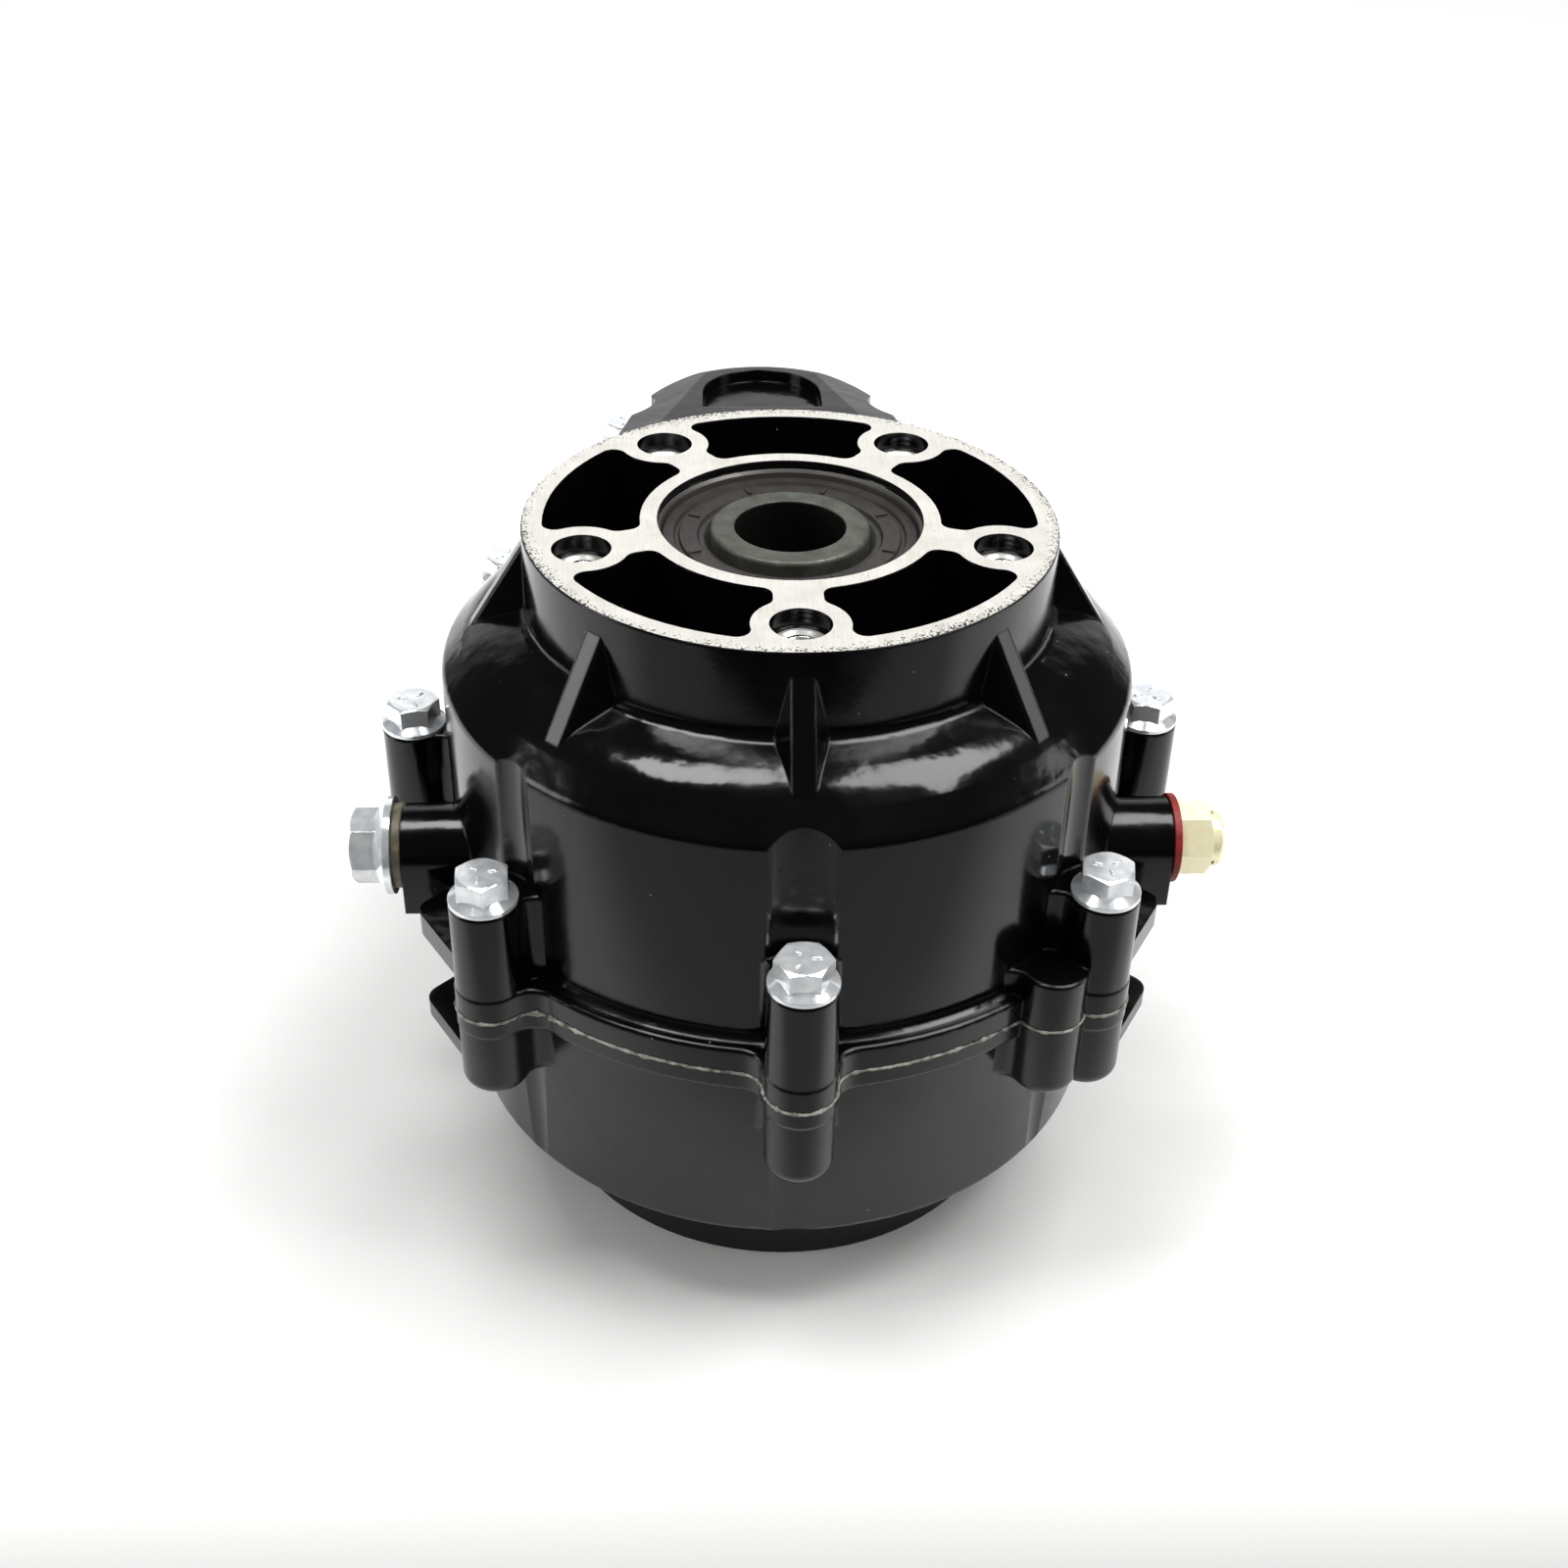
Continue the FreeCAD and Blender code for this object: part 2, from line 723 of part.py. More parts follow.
def planet_gear():
    # A planet with its axis along Z and the centre of the differential at the origin.
    r, h, share = bevel_sizes(planet_teeth, planet_cone)
    bore = planet_pin_radius + running_gap
    rim = r + planet_rim
    back = sqrt(planet_back_radius ** 2 - rim ** 2)
    blank = turned([(0, h * share, 0), (r * share, h * share, 0), (r, h, 0), (rim, back, 0),
                    (rim, planet_back_radius + 1, 0), (0, planet_back_radius + 1, 0)])
    blank = blank.common(Part.makeSphere(planet_back_radius))
    tooth = bevel_tooth(planet_teeth, planet_cone)
    step = 360 / planet_teeth
    gear = merged([blank] + [around(tooth, 90 + step * k) for k in range(planet_teeth)])
    return single(gear.cut(cylinder(bore, 0, planet_back_radius + 1)))


def across(shape, forward):
    # Turns a piece made about +Z so that its axis lies along +Y or -Y, then lifts it to the centre.
    copy = shape.copy()
    copy.rotate(vec(0, 0, 0), vec(1, 0, 0), -90 if forward else 90)
    copy.translate(vec(0, 0, diff_height))
    return copy


# ---- case halves ------------------------------------------------------------------------

def flange_windows(bottom, top):
    ring = disc(window_outer_radius, 0, 0, bottom).cut(disc(window_inner_radius, 0, 0, bottom))
    for k in range(flange_hole_count):
        angle = flange_hole_start + 360 / flange_hole_count * k
        x = flange_hole_circle / 2 * cos(radians(angle))
        y = flange_hole_circle / 2 * sin(radians(angle))
        spoke = Part.makePlane(flange_hole_circle / 2, spoke_width, vec(0, -spoke_width / 2, bottom))
        ring = ring.cut(disc(flange_boss_radius, x, y, bottom))
        ring = ring.cut(around(spoke, angle))
    solids = []
    for window in ring.Faces:
        face = window.makeOffset2D(window_corner_inside, 0, False, False, False)
        face = face.makeOffset2D(-window_corner_inside - window_corner_outside, 0, False, False, False)
        face = face.makeOffset2D(window_corner_outside, 0, False, False, False)
        solids.append(face.Faces[0].extrude(vec(0, 0, top - bottom)))
    return solids


def flange_holes(face, inward):
    # Tapped holes with a wide plain mouth; inward is +1 or -1, the way in along Z.
    holes = []
    x = flange_hole_circle / 2
    mouth = face + inward * flange_mouth_depth
    cone = mouth + inward * flange_mouth_cone
    end = face + inward * flange_thread_depth
    section = [(0, face, 0), (flange_mouth_radius, face, 0), (flange_mouth_radius, mouth, 0),
               (flange_thread_radius + flange_mouth_cone, mouth, 0), (flange_thread_radius, cone, 0),
               (flange_thread_radius, end, 0), (0, end, 0)]
    hole = turned(section, x, 0)
    for k in range(flange_hole_count):
        holes.append(around(hole, flange_hole_start + 360 / flange_hole_count * k))
    return holes


def axle_bore(face, inward):
    # Seal pocket, land and bearing seat of one end.
    seal_end = face + inward * (seal_depth + seal_thickness)
    land_end = seal_end + inward * land_length
    seat_end = land_end + inward * (main_width + bore_run_out)
    lead = face + inward * spigot_depth
    section = [(0, face, 0), (spigot_radius, face, 0), (spigot_radius, lead, 0),
               (seal_outer_radius + fit_gap, lead + inward, 0),
               (seal_outer_radius + fit_gap, seal_end, 0), (land_radius, seal_end, 0),
               (land_radius, land_end, 0), (main_outer + fit_gap, land_end, 0),
               (main_outer + fit_gap, seat_end, 0), (0, seat_end, 0)]
    return turned(section)


def ear(bottom, top):
    shapes = []
    for side in (-1, 1):
        shapes.append(plate([(side * x, y, fillet) for x, y, fillet in ear_outline], bottom, top))
    return shapes


def port_boss():
    shapes = []
    for side in (-1, 1):
        inner = drum_cavity_radius - port_inset
        start = vec(side * inner, port_y, port_height)
        barrel = Part.makeCylinder(port_boss_radius, port_face - inner, start, vec(side, 0, 0))
        low, high = sorted((side * inner, side * port_face))
        foot = box(low, high, port_y - port_boss_radius, port_y + port_boss_radius,
                   split_height + rim_upper - port_foot_bite, port_height)
        shapes.append(barrel.fuse(foot).removeSplitter())
    return shapes


def port_hole(side):
    start = vec(side * (port_face + 1), port_y, port_height)
    return Part.makeCylinder(port_thread_radius + fit_gap, port_face - drum_cavity_radius + port_hole_reach,
                             start, vec(-side, 0, 0))


def rib(angle):
    # A wedge that stands between the flange wall and the shoulder, thinner at its free edge.
    inside = flange_radius - rib_bite
    low = shoulder_height - rib_depth
    foot = crease_height + rib_toe_rise
    root, edge = rib_root_width / 2, rib_edge_width / 2
    corner = [vec(inside, -root, low), vec(inside, root, low)]
    top = [vec(inside, -edge, rib_top_height + rib_crest), vec(inside, edge, rib_top_height + rib_crest)]
    toe = [vec(rib_reach, -edge, foot), vec(rib_reach, edge, foot)]
    loops = [[corner[0], top[0], toe[0]], [corner[1], toe[1], top[1]],
             [corner[0], corner[1], top[1], top[0]], [corner[0], toe[0], toe[1], corner[1]],
             [top[0], top[1], toe[1], toe[0]]]
    faces = [Part.Face(Part.makePolygon(loop + [loop[0]])) for loop in loops]
    wedge = Part.makeSolid(Part.makeShell(faces))
    if wedge.Volume < 0:
        wedge.reverse()
    crest = [e for e in wedge.Edges
             if abs(e.CenterOfMass.x - (top[0].x + toe[0].x) / 2) < 1e-3 and e.Length > rib_edge_width]
    return around(wedge.makeFillet(rib_edge_fillet, crest), angle)


def rear_roof():
    # The flat-topped rear part with its rounded edge and the two side facets.
    outline = CaseWall(drum_radius - hood_inset, hood_radius).hood_outline(upper_joint)
    block = Part.Face(outline).extrude(vec(0, 0, roof_height - upper_joint))
    rounded = [e for e in edges_at(block, roof_height) if e.CenterOfMass.y > drum_radius]
    block = block.makeFillet(roof_fillet, rounded)
    (x1, y1), (x2, y2) = facet_line
    turn = degrees(atan((x2 - x1) / (y1 - y2)))
    for side in (-1, 1):
        wedge = box(0, facet_block, -facet_block, facet_block, 0, facet_block)
        wedge.rotate(vec(0, 0, 0), vec(0, 1, 0), degrees(facet_slope))
        wedge.rotate(vec(0, 0, 0), UP, turn)
        wedge.translate(vec(x1, y1, roof_height))
        if side < 0:
            wedge = wedge.mirror(vec(0, 0, 0), vec(1, 0, 0))
        block = block.cut(wedge)
    return block


def hood_recess():
    floor = roof_height - recess_depth
    half = recess_half_width
    middle = recess_back - half
    front = Part.LineSegment(vec(-half, recess_front, floor), vec(half, recess_front, floor))
    right = Part.LineSegment(vec(half, recess_front, floor), vec(half, middle, floor))
    arch = Part.Arc(vec(half, middle, floor), vec(0, recess_back, floor), vec(-half, middle, floor))
    left = Part.LineSegment(vec(-half, middle, floor), vec(-half, recess_front, floor))
    wire = Part.Wire([front.toShape(), right.toShape(), arch.toShape(), left.toShape()])
    return Part.Face(wire).extrude(vec(0, 0, recess_depth + 5))


def upper_housing():
    rise = upper_joint
    drum = turned([(0, rise, 0), (drum_radius, rise, 0), (drum_radius, crease_height, crease_fillet),
                   (shoulder_step_radius, shoulder_height - shoulder_step, shoulder_round),
                   (flange_radius, shoulder_height, cast_fillet),
                   (flange_radius, case_height, flange_edge_fillet),
                   (0, case_height, 0)])
    rim_top = split_height + rim_upper
    rim = rim_prism(rise, rim_top)
    wall = CaseWall(drum_radius - hood_inset - pad_bite, hood_radius - pad_bite)
    parts = [drum, rear_roof(), filleted_at(rim, rim_top, rim_fillet), rim_cove_ring(rim_top)]
    for places, height in ((bolt_places, boss_top), (dowel_places, dowel_boss_top)):
        for x, y in places:
            parts.append(boss_column(wall, x, y, rise, height, height, boss_edge_fillet))
    parts += port_boss()
    parts += ear(ear_upper_top - ear_thickness, ear_upper_top)
    parts += [rib(flange_hole_start + 360 / rib_count * k) for k in range(rib_count)]
    body = merged(parts)
    # clearance for the socket above each bolt
    drum_wall_line = CaseWall(drum_radius, hood_radius)
    hood_wall_line = CaseWall(drum_radius - hood_inset, hood_radius)
    for x, y in bolt_places:
        line = hood_wall_line if drum_wall_line.foot(x, y) > 0 else drum_wall_line
        radius = hood_scallop_radius if y > input_y else scallop_radius
        if line.distance(x, y) < radius - scallop_least:
            hollow = line.hollow(x, y, radius, scallop_round, boss_top)
            body = body.cut(hollow.extrude(vec(0, 0, case_height - boss_top)))
    # inside
    ceiling = upper_bearing + bearing_ceiling_rise
    cavity = turned([(0, rise - 1, 0), (drum_cavity_radius, rise - 1, 0),
                     (drum_cavity_radius, crease_height - cavity_ceiling_drop, cavity_fillet),
                     (window_outer_radius, ceiling, cavity_fillet), (0, ceiling, 0)])
    cavity = cavity.fuse(case_prism(drum_cavity_radius, hood_cavity_radius, rise - 1, rear_ceiling))
    body = body.cut(cavity)
    bosses = [cylinder(hub_radius, upper_bearing, upper_bearing + hub_boss_rise),
              cylinder(shaft_boss_radius, train_bearing, rear_ceiling + boss_bite, 0, intermediate_y),
              cylinder(hub_boss_radius, train_bearing, rear_ceiling + boss_bite, 0, input_y)]
    body = merged([body] + bosses)
    body = body.cut(axle_bore(case_height, -1))
    for radius, width, relief, y in ((shaft_outer, shaft_width, shaft_relief_radius, intermediate_y),
                                     (hub_outer, hub_width, hub_relief_radius, input_y)):
        body = body.cut(cylinder(radius + fit_gap, train_bearing - 1, train_bearing + width, 0, y))
        body = body.cut(cylinder(relief, train_bearing, train_bearing + width + relief_depth, 0, y))
    for hole in flange_holes(case_height, -1) + flange_windows(case_height - window_depth, case_height + 1):
        body = body.cut(hole)
    for x, y in bolt_places:
        body = body.cut(cylinder(bolt_shank_radius + bolt_clearance, rise - 1, boss_top + 1, x, y))
    for x, y in dowel_places:
        body = body.cut(cylinder(dowel_radius + fit_gap, rise - 1, split_height + dowel_length / 2 + 1, x, y))
    body = body.cut(port_hole(-1)).cut(port_hole(1)).cut(hood_recess())
    return single(body.removeSplitter())


def motor_post_places():
    places = []
    for k in range(motor_hole_count):
        angle = radians(motor_hole_start + 360 / motor_hole_count * k)
        places.append((motor_hole_circle / 2 * cos(angle), input_y + motor_hole_circle / 2 * sin(angle)))
    return places


def lower_housing():
    top = lower_joint
    low = drum_radius - lower_draft
    rise = (rear_floor_height - lower_floor_height) / (top - lower_floor_height)
    middle = low + lower_draft * rise
    drum = turned([(0, 0, 0), (flange_radius, 0, flange_edge_fillet),
                   (flange_radius, lower_floor_height, cast_fillet),
                   (low, lower_floor_height, lower_edge_fillet), (middle, rear_floor_height, 0),
                   (0, rear_floor_height, 0)])
    rear = Part.makeLoft([CaseWall(middle, hood_radius - hood_draft).outline(rear_floor_height),
                          CaseWall(drum_radius, hood_radius).outline(top)], True, True)
    rim = rim_prism(top - rim_lower, top)
    wall = CaseWall(drum_radius - pad_bite - lower_draft / 3, hood_radius - pad_bite - hood_draft / 2)
    parts = [drum, rear, filleted_at(rim, top - rim_lower, rim_fillet)]
    for places, height in ((bolt_places, boss_bottom), (dowel_places, dowel_boss_bottom)):
        for x, y in places:
            parts.append(boss_column(wall, x, y, height, top, height, boss_end_fillet))
    parts += ear(lower_ear_top - lower_ear_thickness, lower_ear_top)
    pad = cylinder(motor_pad_radius, rear_floor_height, rear_floor_height + motor_pad_thickness, 0, input_y)
    parts.append(pad.makeFillet(motor_pad_fillet, edges_at(pad, rear_floor_height + motor_pad_thickness)))
    body = merged(parts)
    share = (boss_bottom - lower_floor_height) / (top - lower_floor_height)
    line = CaseWall(low + lower_draft * share, hood_radius - hood_draft * (1 - share))
    for x, y in bolt_places:
        if y < input_y and line.distance(x, y) < scallop_radius - scallop_least:
            hollow = line.hollow(x, y, scallop_radius, scallop_round, lower_floor_height)
            body = body.cut(hollow.extrude(vec(0, 0, boss_bottom - lower_floor_height)))
    cavity = cylinder(drum_cavity_radius, lower_cavity_floor, top + 1)
    cavity = cavity.makeFillet(cavity_fillet, edges_at(cavity, lower_cavity_floor))
    cavity = cavity.fuse(case_prism(drum_cavity_radius, hood_cavity_radius, rear_cavity_floor, top + 1))
    body = body.cut(cavity)
    bosses = [cylinder(hub_radius, lower_floor_height, lower_bearing + main_width),
              cylinder(shaft_boss_radius, rear_floor_height, shaft_bearing + shaft_width, 0, intermediate_y),
              cylinder(hub_boss_radius, rear_floor_height, hub_bearing + hub_width, 0, input_y)]
    post_top = rear_floor_height + motor_thread_depth + motor_post_floor
    bosses += [cylinder(motor_post_radius, rear_floor_height, post_top, x, y)
               for x, y in motor_post_places() if y < input_y]
    body = merged([body] + bosses)
    body = body.cut(axle_bore(0, 1))
    body = body.cut(cylinder(shaft_outer + fit_gap, shaft_bearing, top, 0, intermediate_y))
    body = body.cut(cylinder(shaft_relief_radius, shaft_bearing - relief_depth, top, 0, intermediate_y))
    seal_floor = rear_floor_height + motor_pilot_depth
    body = body.cut(cylinder(motor_pilot_radius, rear_floor_height - 1, seal_floor, 0, input_y))
    body = body.cut(cylinder(input_seal_outer + fit_gap, rear_floor_height, seal_floor + input_seal_thickness,
                             0, input_y))
    body = body.cut(cylinder(input_shoulder_radius + 1, rear_floor_height, top, 0, input_y))
    body = body.cut(cylinder(hub_outer + fit_gap, hub_bearing, top, 0, input_y))
    for hole in flange_holes(0, 1) + flange_windows(-1, window_depth):
        body = body.cut(hole)
    for x, y in motor_post_places():
        body = body.cut(cylinder(motor_thread_radius, rear_floor_height - 1,
                                 rear_floor_height + motor_thread_depth, x, y))
    for x, y in bolt_places:
        end = top - bolt_bite - bolt_end_space
        body = body.cut(cylinder(bolt_shank_radius + fit_gap, end, top + 1, x, y))
    for x, y in dowel_places:
        body = body.cut(cylinder(dowel_radius + fit_gap, split_height - dowel_length / 2 - 1, top + 1, x, y))
    return single(body.removeSplitter())


def split_gasket():
    sheet = rim_prism(lower_joint, upper_joint)
    sheet = merged([sheet] + [cylinder(boss_radius, lower_joint, upper_joint, x, y) for x, y in dowel_places])
    sheet = sheet.cut(case_prism(drum_cavity_radius, hood_cavity_radius, lower_joint - 1, upper_joint + 1))
    for x, y in bolt_places:
        sheet = sheet.cut(cylinder(bolt_shank_radius + bolt_clearance, lower_joint - 1,
                                   upper_joint + 1, x, y))
    for x, y in dowel_places:
        sheet = sheet.cut(cylinder(dowel_radius + fit_gap, lower_joint - 1, upper_joint + 1, x, y))
    return single(sheet)


# ---- fasteners and fittings -------------------------------------------------------------

def hexagon(across_flats, bottom, top):
    radius = across_flats / 2 / cos(radians(30))
    points = [vec(radius * cos(radians(60 * k)), radius * sin(radians(60 * k)), bottom) for k in range(7)]
    return Part.Face(Part.makePolygon(points)).extrude(vec(0, 0, top - bottom))


def chamfered_hexagon(across_flats, bottom, top):
    corner = across_flats / 2 / cos(radians(30)) + 0.02
    face = across_flats / 2 * hexagon_face_share
    drop = (corner - face) * hexagon_chamfer
    guard = turned([(0, bottom, 0), (corner, bottom, 0), (corner, top - drop, 0), (face, top, 0),
                    (0, top, 0)])
    return hexagon(across_flats, bottom, top).common(guard)


def flange_bolt(flange_radius_here, flats, head, shank_radius, shank_length, rim):
    # A hexagon flange bolt on +Z with its seat at z = 0 and its shank below.
    flange = turned([(0, 0, 0), (flange_radius_here, 0, 0), (flange_radius_here, rim, 0),
                     (flats / 2, rim * bolt_cone, 0), (0, rim * bolt_cone, 0)])
    shank = turned([(0, 0.5, 0), (shank_radius, 0.5, 0), (shank_radius, 1 - shank_length, 0),
                    (shank_radius - 1, -shank_length, 0), (0, -shank_length, 0)])
    return single(merged([flange, chamfered_hexagon(flats, rim, head), shank]))


def housing_bolts():
    length = boss_top - (lower_joint - bolt_bite)
    bolt = flange_bolt(bolt_flange_radius, bolt_across_flats, bolt_head_height, bolt_shank_radius, length,
                       bolt_rim)
    placed = []
    for (x, y), turn in zip(bolt_places, bolt_turns):
        copy = around(bolt, turn)
        copy.translate(vec(x, y, boss_top))
        placed.append(copy)
    return Part.makeCompound(placed)


def housing_dowels():
    low = split_height - dowel_length / 2
    high = low + dowel_length
    chamfer = dowel_chamfer
    section = [(0, low, 0), (dowel_radius - chamfer, low, 0), (dowel_radius, low + chamfer, 0),
               (dowel_radius, high - chamfer, 0), (dowel_radius - chamfer, high, 0), (0, high, 0)]
    return Part.makeCompound([turned(section, x, y) for x, y in dowel_places])


def to_port(shape, side, offset):
    # Turns a piece made on +Z so that it points out of the port on that side.
    copy = shape.copy()
    copy.rotate(vec(0, 0, 0), UP, port_turn)
    copy.rotate(vec(0, 0, 0), vec(0, 1, 0), 90 * side)
    copy.translate(vec(side * (port_face + offset), port_y, port_height))
    return copy


def drain_plug():
    plug = flange_bolt(plug_flange_radius, plug_across_flats, plug_head_height, port_thread_radius,
                       plug_shank, plug_rim)
    return to_port(plug, -1, plug_washer_thickness)


def drain_plug_washer():
    ring = turned([(port_thread_radius + washer_bore_gap, 0, 0), (plug_washer_radius, 0, 0.5),
                   (plug_washer_radius, plug_washer_thickness, 0.5),
                   (port_thread_radius + washer_bore_gap, plug_washer_thickness, 0)])
    return to_port(ring, -1, 0)


def breather_washer():
    ring = turned([(port_thread_radius + washer_bore_gap, 0, 0), (breather_washer_radius, 0, 0.4),
                   (breather_washer_radius, breather_washer_thickness, 0.4),
                   (port_thread_radius + washer_bore_gap, breather_washer_thickness, 0)])
    return to_port(ring, 1, 0)


def breather_body():
    head = chamfered_hexagon(breather_across_flats, 0, breather_hex_height)
    stem = turned([(0, 0, 0), (port_thread_radius, 0, 0), (port_thread_radius, 1 - breather_shank, 0),
                   (port_thread_radius - 1, -breather_shank, 0), (0, -breather_shank, 0)])
    spigot = cylinder(breather_cap_radius - breather_spigot_inset, breather_hex_height - 1,
                      breather_hex_height + breather_cap_recess - 0.2)
    body = merged([head, stem, spigot])
    body = body.cut(cylinder(breather_vent_radius, -breather_shank - 1, breather_hex_height + 2))
    return to_port(single(body), 1, breather_washer_thickness)


def breather_cap():
    # A cupped cap over the spigot, with notches at its edge that let air out.
    foot = breather_hex_height
    top = foot + breather_cap_height
    inner = breather_cap_radius - breather_cap_wall
    cap = turned([(0, foot + breather_cap_recess, 0), (inner, foot + breather_cap_recess, 0),
                  (inner, foot, 0), (breather_cap_radius, foot, 0),
                  (breather_cap_radius, top, breather_cap_round), (0, top, 0)])
    half = breather_notch_half
    for k in range(breather_notch_count):
        notch = box(inner - 1, breather_cap_radius + 1, -half, half, foot - 1, foot + half)
        cap = cap.cut(around(notch, 360 / breather_notch_count * (k + 0.25)))
    return to_port(single(cap), 1, breather_washer_thickness)


# ---- seals and bearings -----------------------------------------------------------------

def axle_seal(face, inward):
    # A lipped oil seal; its visible face has two rings and moulded radial marks.
    f = face + inward * seal_depth
    s = inward
    lip = journal_radius + running_gap
    outer = seal_outer_radius
    shell = outer - seal_shell_width
    section = [(outer, f + s * seal_thickness, 0)]
    section += [(outer - inset, f + s * depth, 0) for inset, depth in seal_rim_profile]
    section += [(lip + rise, f + s * depth, 0) for rise, depth in seal_lip_profile]
    section += [(shell, f + s * seal_lip_profile[-1][1], 0), (shell, f + s * seal_thickness, 0)]
    ring = turned(section)
    low, high = sorted((f - s * seal_mark_rise, f + s * seal_mark_root))
    mark = box(outer - seal_mark_inner, outer - seal_mark_outer, -seal_mark_width / 2, seal_mark_width / 2,
               low, high)
    step = 360 / seal_mark_count
    return single(merged([ring] + [around(mark, step * (k + 0.5)) for k in range(seal_mark_count)]))


def input_seal():
    bottom = rear_floor_height + motor_pilot_depth
    lip = hub_bore + running_gap
    outer = input_seal_outer
    top = bottom + input_seal_thickness
    web = bottom + input_seal_web
    section = [(outer, top, 0), (outer, bottom + input_seal_edge, 0), (outer - input_seal_edge, bottom, 0)]
    section += [(lip + rise, bottom + depth, 0) for rise, depth in input_lip_profile]
    section += [(outer - input_seal_shell, web, 0), (outer - input_seal_shell, top, 0)]
    return turned(section, 0, input_y)


def race_sizes(bore, outer):
    section = outer - bore
    return (bore + outer) / 2, section * ball_share


def grooved_race(inner, outer, groove_radius, middle, bottom, width, y):
    ring = turned([(inner, bottom, 0), (outer, bottom, 0), (outer, bottom + width, 0),
                   (inner, bottom + width, 0)], 0, y)
    groove = Part.makeTorus(middle, groove_radius, vec(0, y, bottom + width / 2), UP)
    return single(ring.cut(groove))


def open_bearing(bottom):
    # Outer race, inner race and balls of one main bearing.
    middle, ball = race_sizes(main_bore, main_outer)
    groove = ball + running_gap / 2
    land = ball * land_share
    outer = grooved_race(middle + land, main_outer, groove, middle, bottom, main_width, 0)
    inner = grooved_race(main_bore + fit_gap, middle - land, groove, middle, bottom, main_width, 0)
    one = Part.makeSphere(ball, vec(middle, 0, bottom + main_width / 2))
    balls = Part.makeCompound([around(one, 360 / main_balls * k) for k in range(main_balls)])
    return outer, inner, balls


def shielded_bearing(bore, outer_radius, width, bottom, y):
    # A closed bearing: the outer race carries a thin shield on each face, close to the inner race.
    middle, ball = race_sizes(bore, outer_radius)
    land = ball * land_share
    inner_land = middle - land
    shield = inner_land + shield_gap
    low, high = bottom + shield_inset, bottom + width - shield_inset
    section = [(outer_radius, bottom, 0), (outer_radius, bottom + width, 0),
               (middle + land, bottom + width, 0), (middle + land, high, 0), (shield, high, 0),
               (shield, high - shield_thickness, 0),
               (middle + land, high - shield_thickness, 0), (middle + land, low + shield_thickness, 0),
               (shield, low + shield_thickness, 0), (shield, low, 0), (middle + land, low, 0),
               (middle + land, bottom, 0)]
    outer = turned(section, 0, y)
    inner = turned([(bore + fit_gap, bottom, 0), (inner_land, bottom, 0), (inner_land, bottom + width, 0),
                    (bore + fit_gap, bottom + width, 0)], 0, y)
    return outer, inner


# ---- differential -----------------------------------------------------------------------

def ring_bolt_places():
    places = []
    for k in range(ring_bolt_count):
        angle = 2 * pi * (k + 0.5) / ring_bolt_count
        places.append((ring_bolt_circle / 2 * cos(angle), ring_bolt_circle / 2 * sin(angle)))
    return places


def case_upper():
    # The cup that holds the bevel gears, its flange and its long journal.
    top = case_height - journal_end_gap
    seat = upper_bearing
    head = cup_top + cup_head
    stop = seat + main_width + bearing_relief
    body = turned([(journal_bore, top, journal_bore_edge), (journal_radius, top, journal_edge),
                   (journal_radius, stop, 0), (main_bore, stop, 0),
                   (main_bore, seat, 0), (neck_radius, seat, 0), (neck_radius, head, neck_fillet),
                   (cup_radius - cup_shoulder, head, cup_slope_fillet),
                   (cup_radius, head - cup_slope, cup_edge_fillet), (cup_radius, ring_web_bottom, 0),
                   (case_flange_radius, ring_web_bottom, 0), (case_flange_radius, ring_bottom, 0),
                   (journal_bore, ring_bottom, 0)])
    body = body.cut(cylinder(cup_cavity_radius, ring_bottom - 1, diff_height))
    body = body.cut(Part.makeSphere(cup_cavity_radius, vec(0, 0, diff_height)))
    body = body.cut(cylinder(cup_cavity_radius - side_pocket_inset, diff_height, cup_top))
    body = body.cut(cylinder(side_hub_radius + running_gap, diff_height,
                             cup_top + side_hub_length + hub_end_gap))
    pin_hole = Part.makeCylinder(planet_pin_radius + fit_gap, 2 * cup_radius + 2,
                                 vec(0, -cup_radius - 1, diff_height), vec(0, 1, 0))
    body = body.cut(pin_hole)
    body = body.cut(cylinder(lock_pin_radius + fit_gap, diff_height - lock_pin_length / 2, head, 0,
                             lock_pin_y))
    for x, y in ring_bolt_places():
        body = body.cut(cylinder(bolt_shank_radius + ring_bolt_gap, ring_bottom - 1,
                                 ring_web_bottom + 1, x, y))
    return single(body)


def case_lower():
    # The cover of the cup, with the bolt flange and the other journal.
    seat = lower_bearing
    stop = seat - bearing_relief
    hub_end = ring_bottom - side_hub_length - hub_end_gap
    body = turned([(journal_bore, journal_end_gap, journal_bore_edge),
                   (journal_radius, journal_end_gap, journal_edge),
                   (journal_radius, stop, 0), (main_bore, stop, 0), (main_bore, seat + main_width, 0),
                   (neck_radius, seat + main_width, 0), (neck_radius, case_bottom, cover_fillet),
                   (case_flange_radius, case_bottom, case_edge_fillet), (case_flange_radius, ring_bottom, 0),
                   (side_hub_radius + running_gap, ring_bottom, 0),
                   (side_hub_radius + running_gap, hub_end, 0), (journal_bore, hub_end, 0)])
    for x, y in ring_bolt_places():
        body = body.cut(cylinder(bolt_shank_radius + fit_gap, case_bottom - 1, ring_bottom + 1, x, y))
    return single(body)


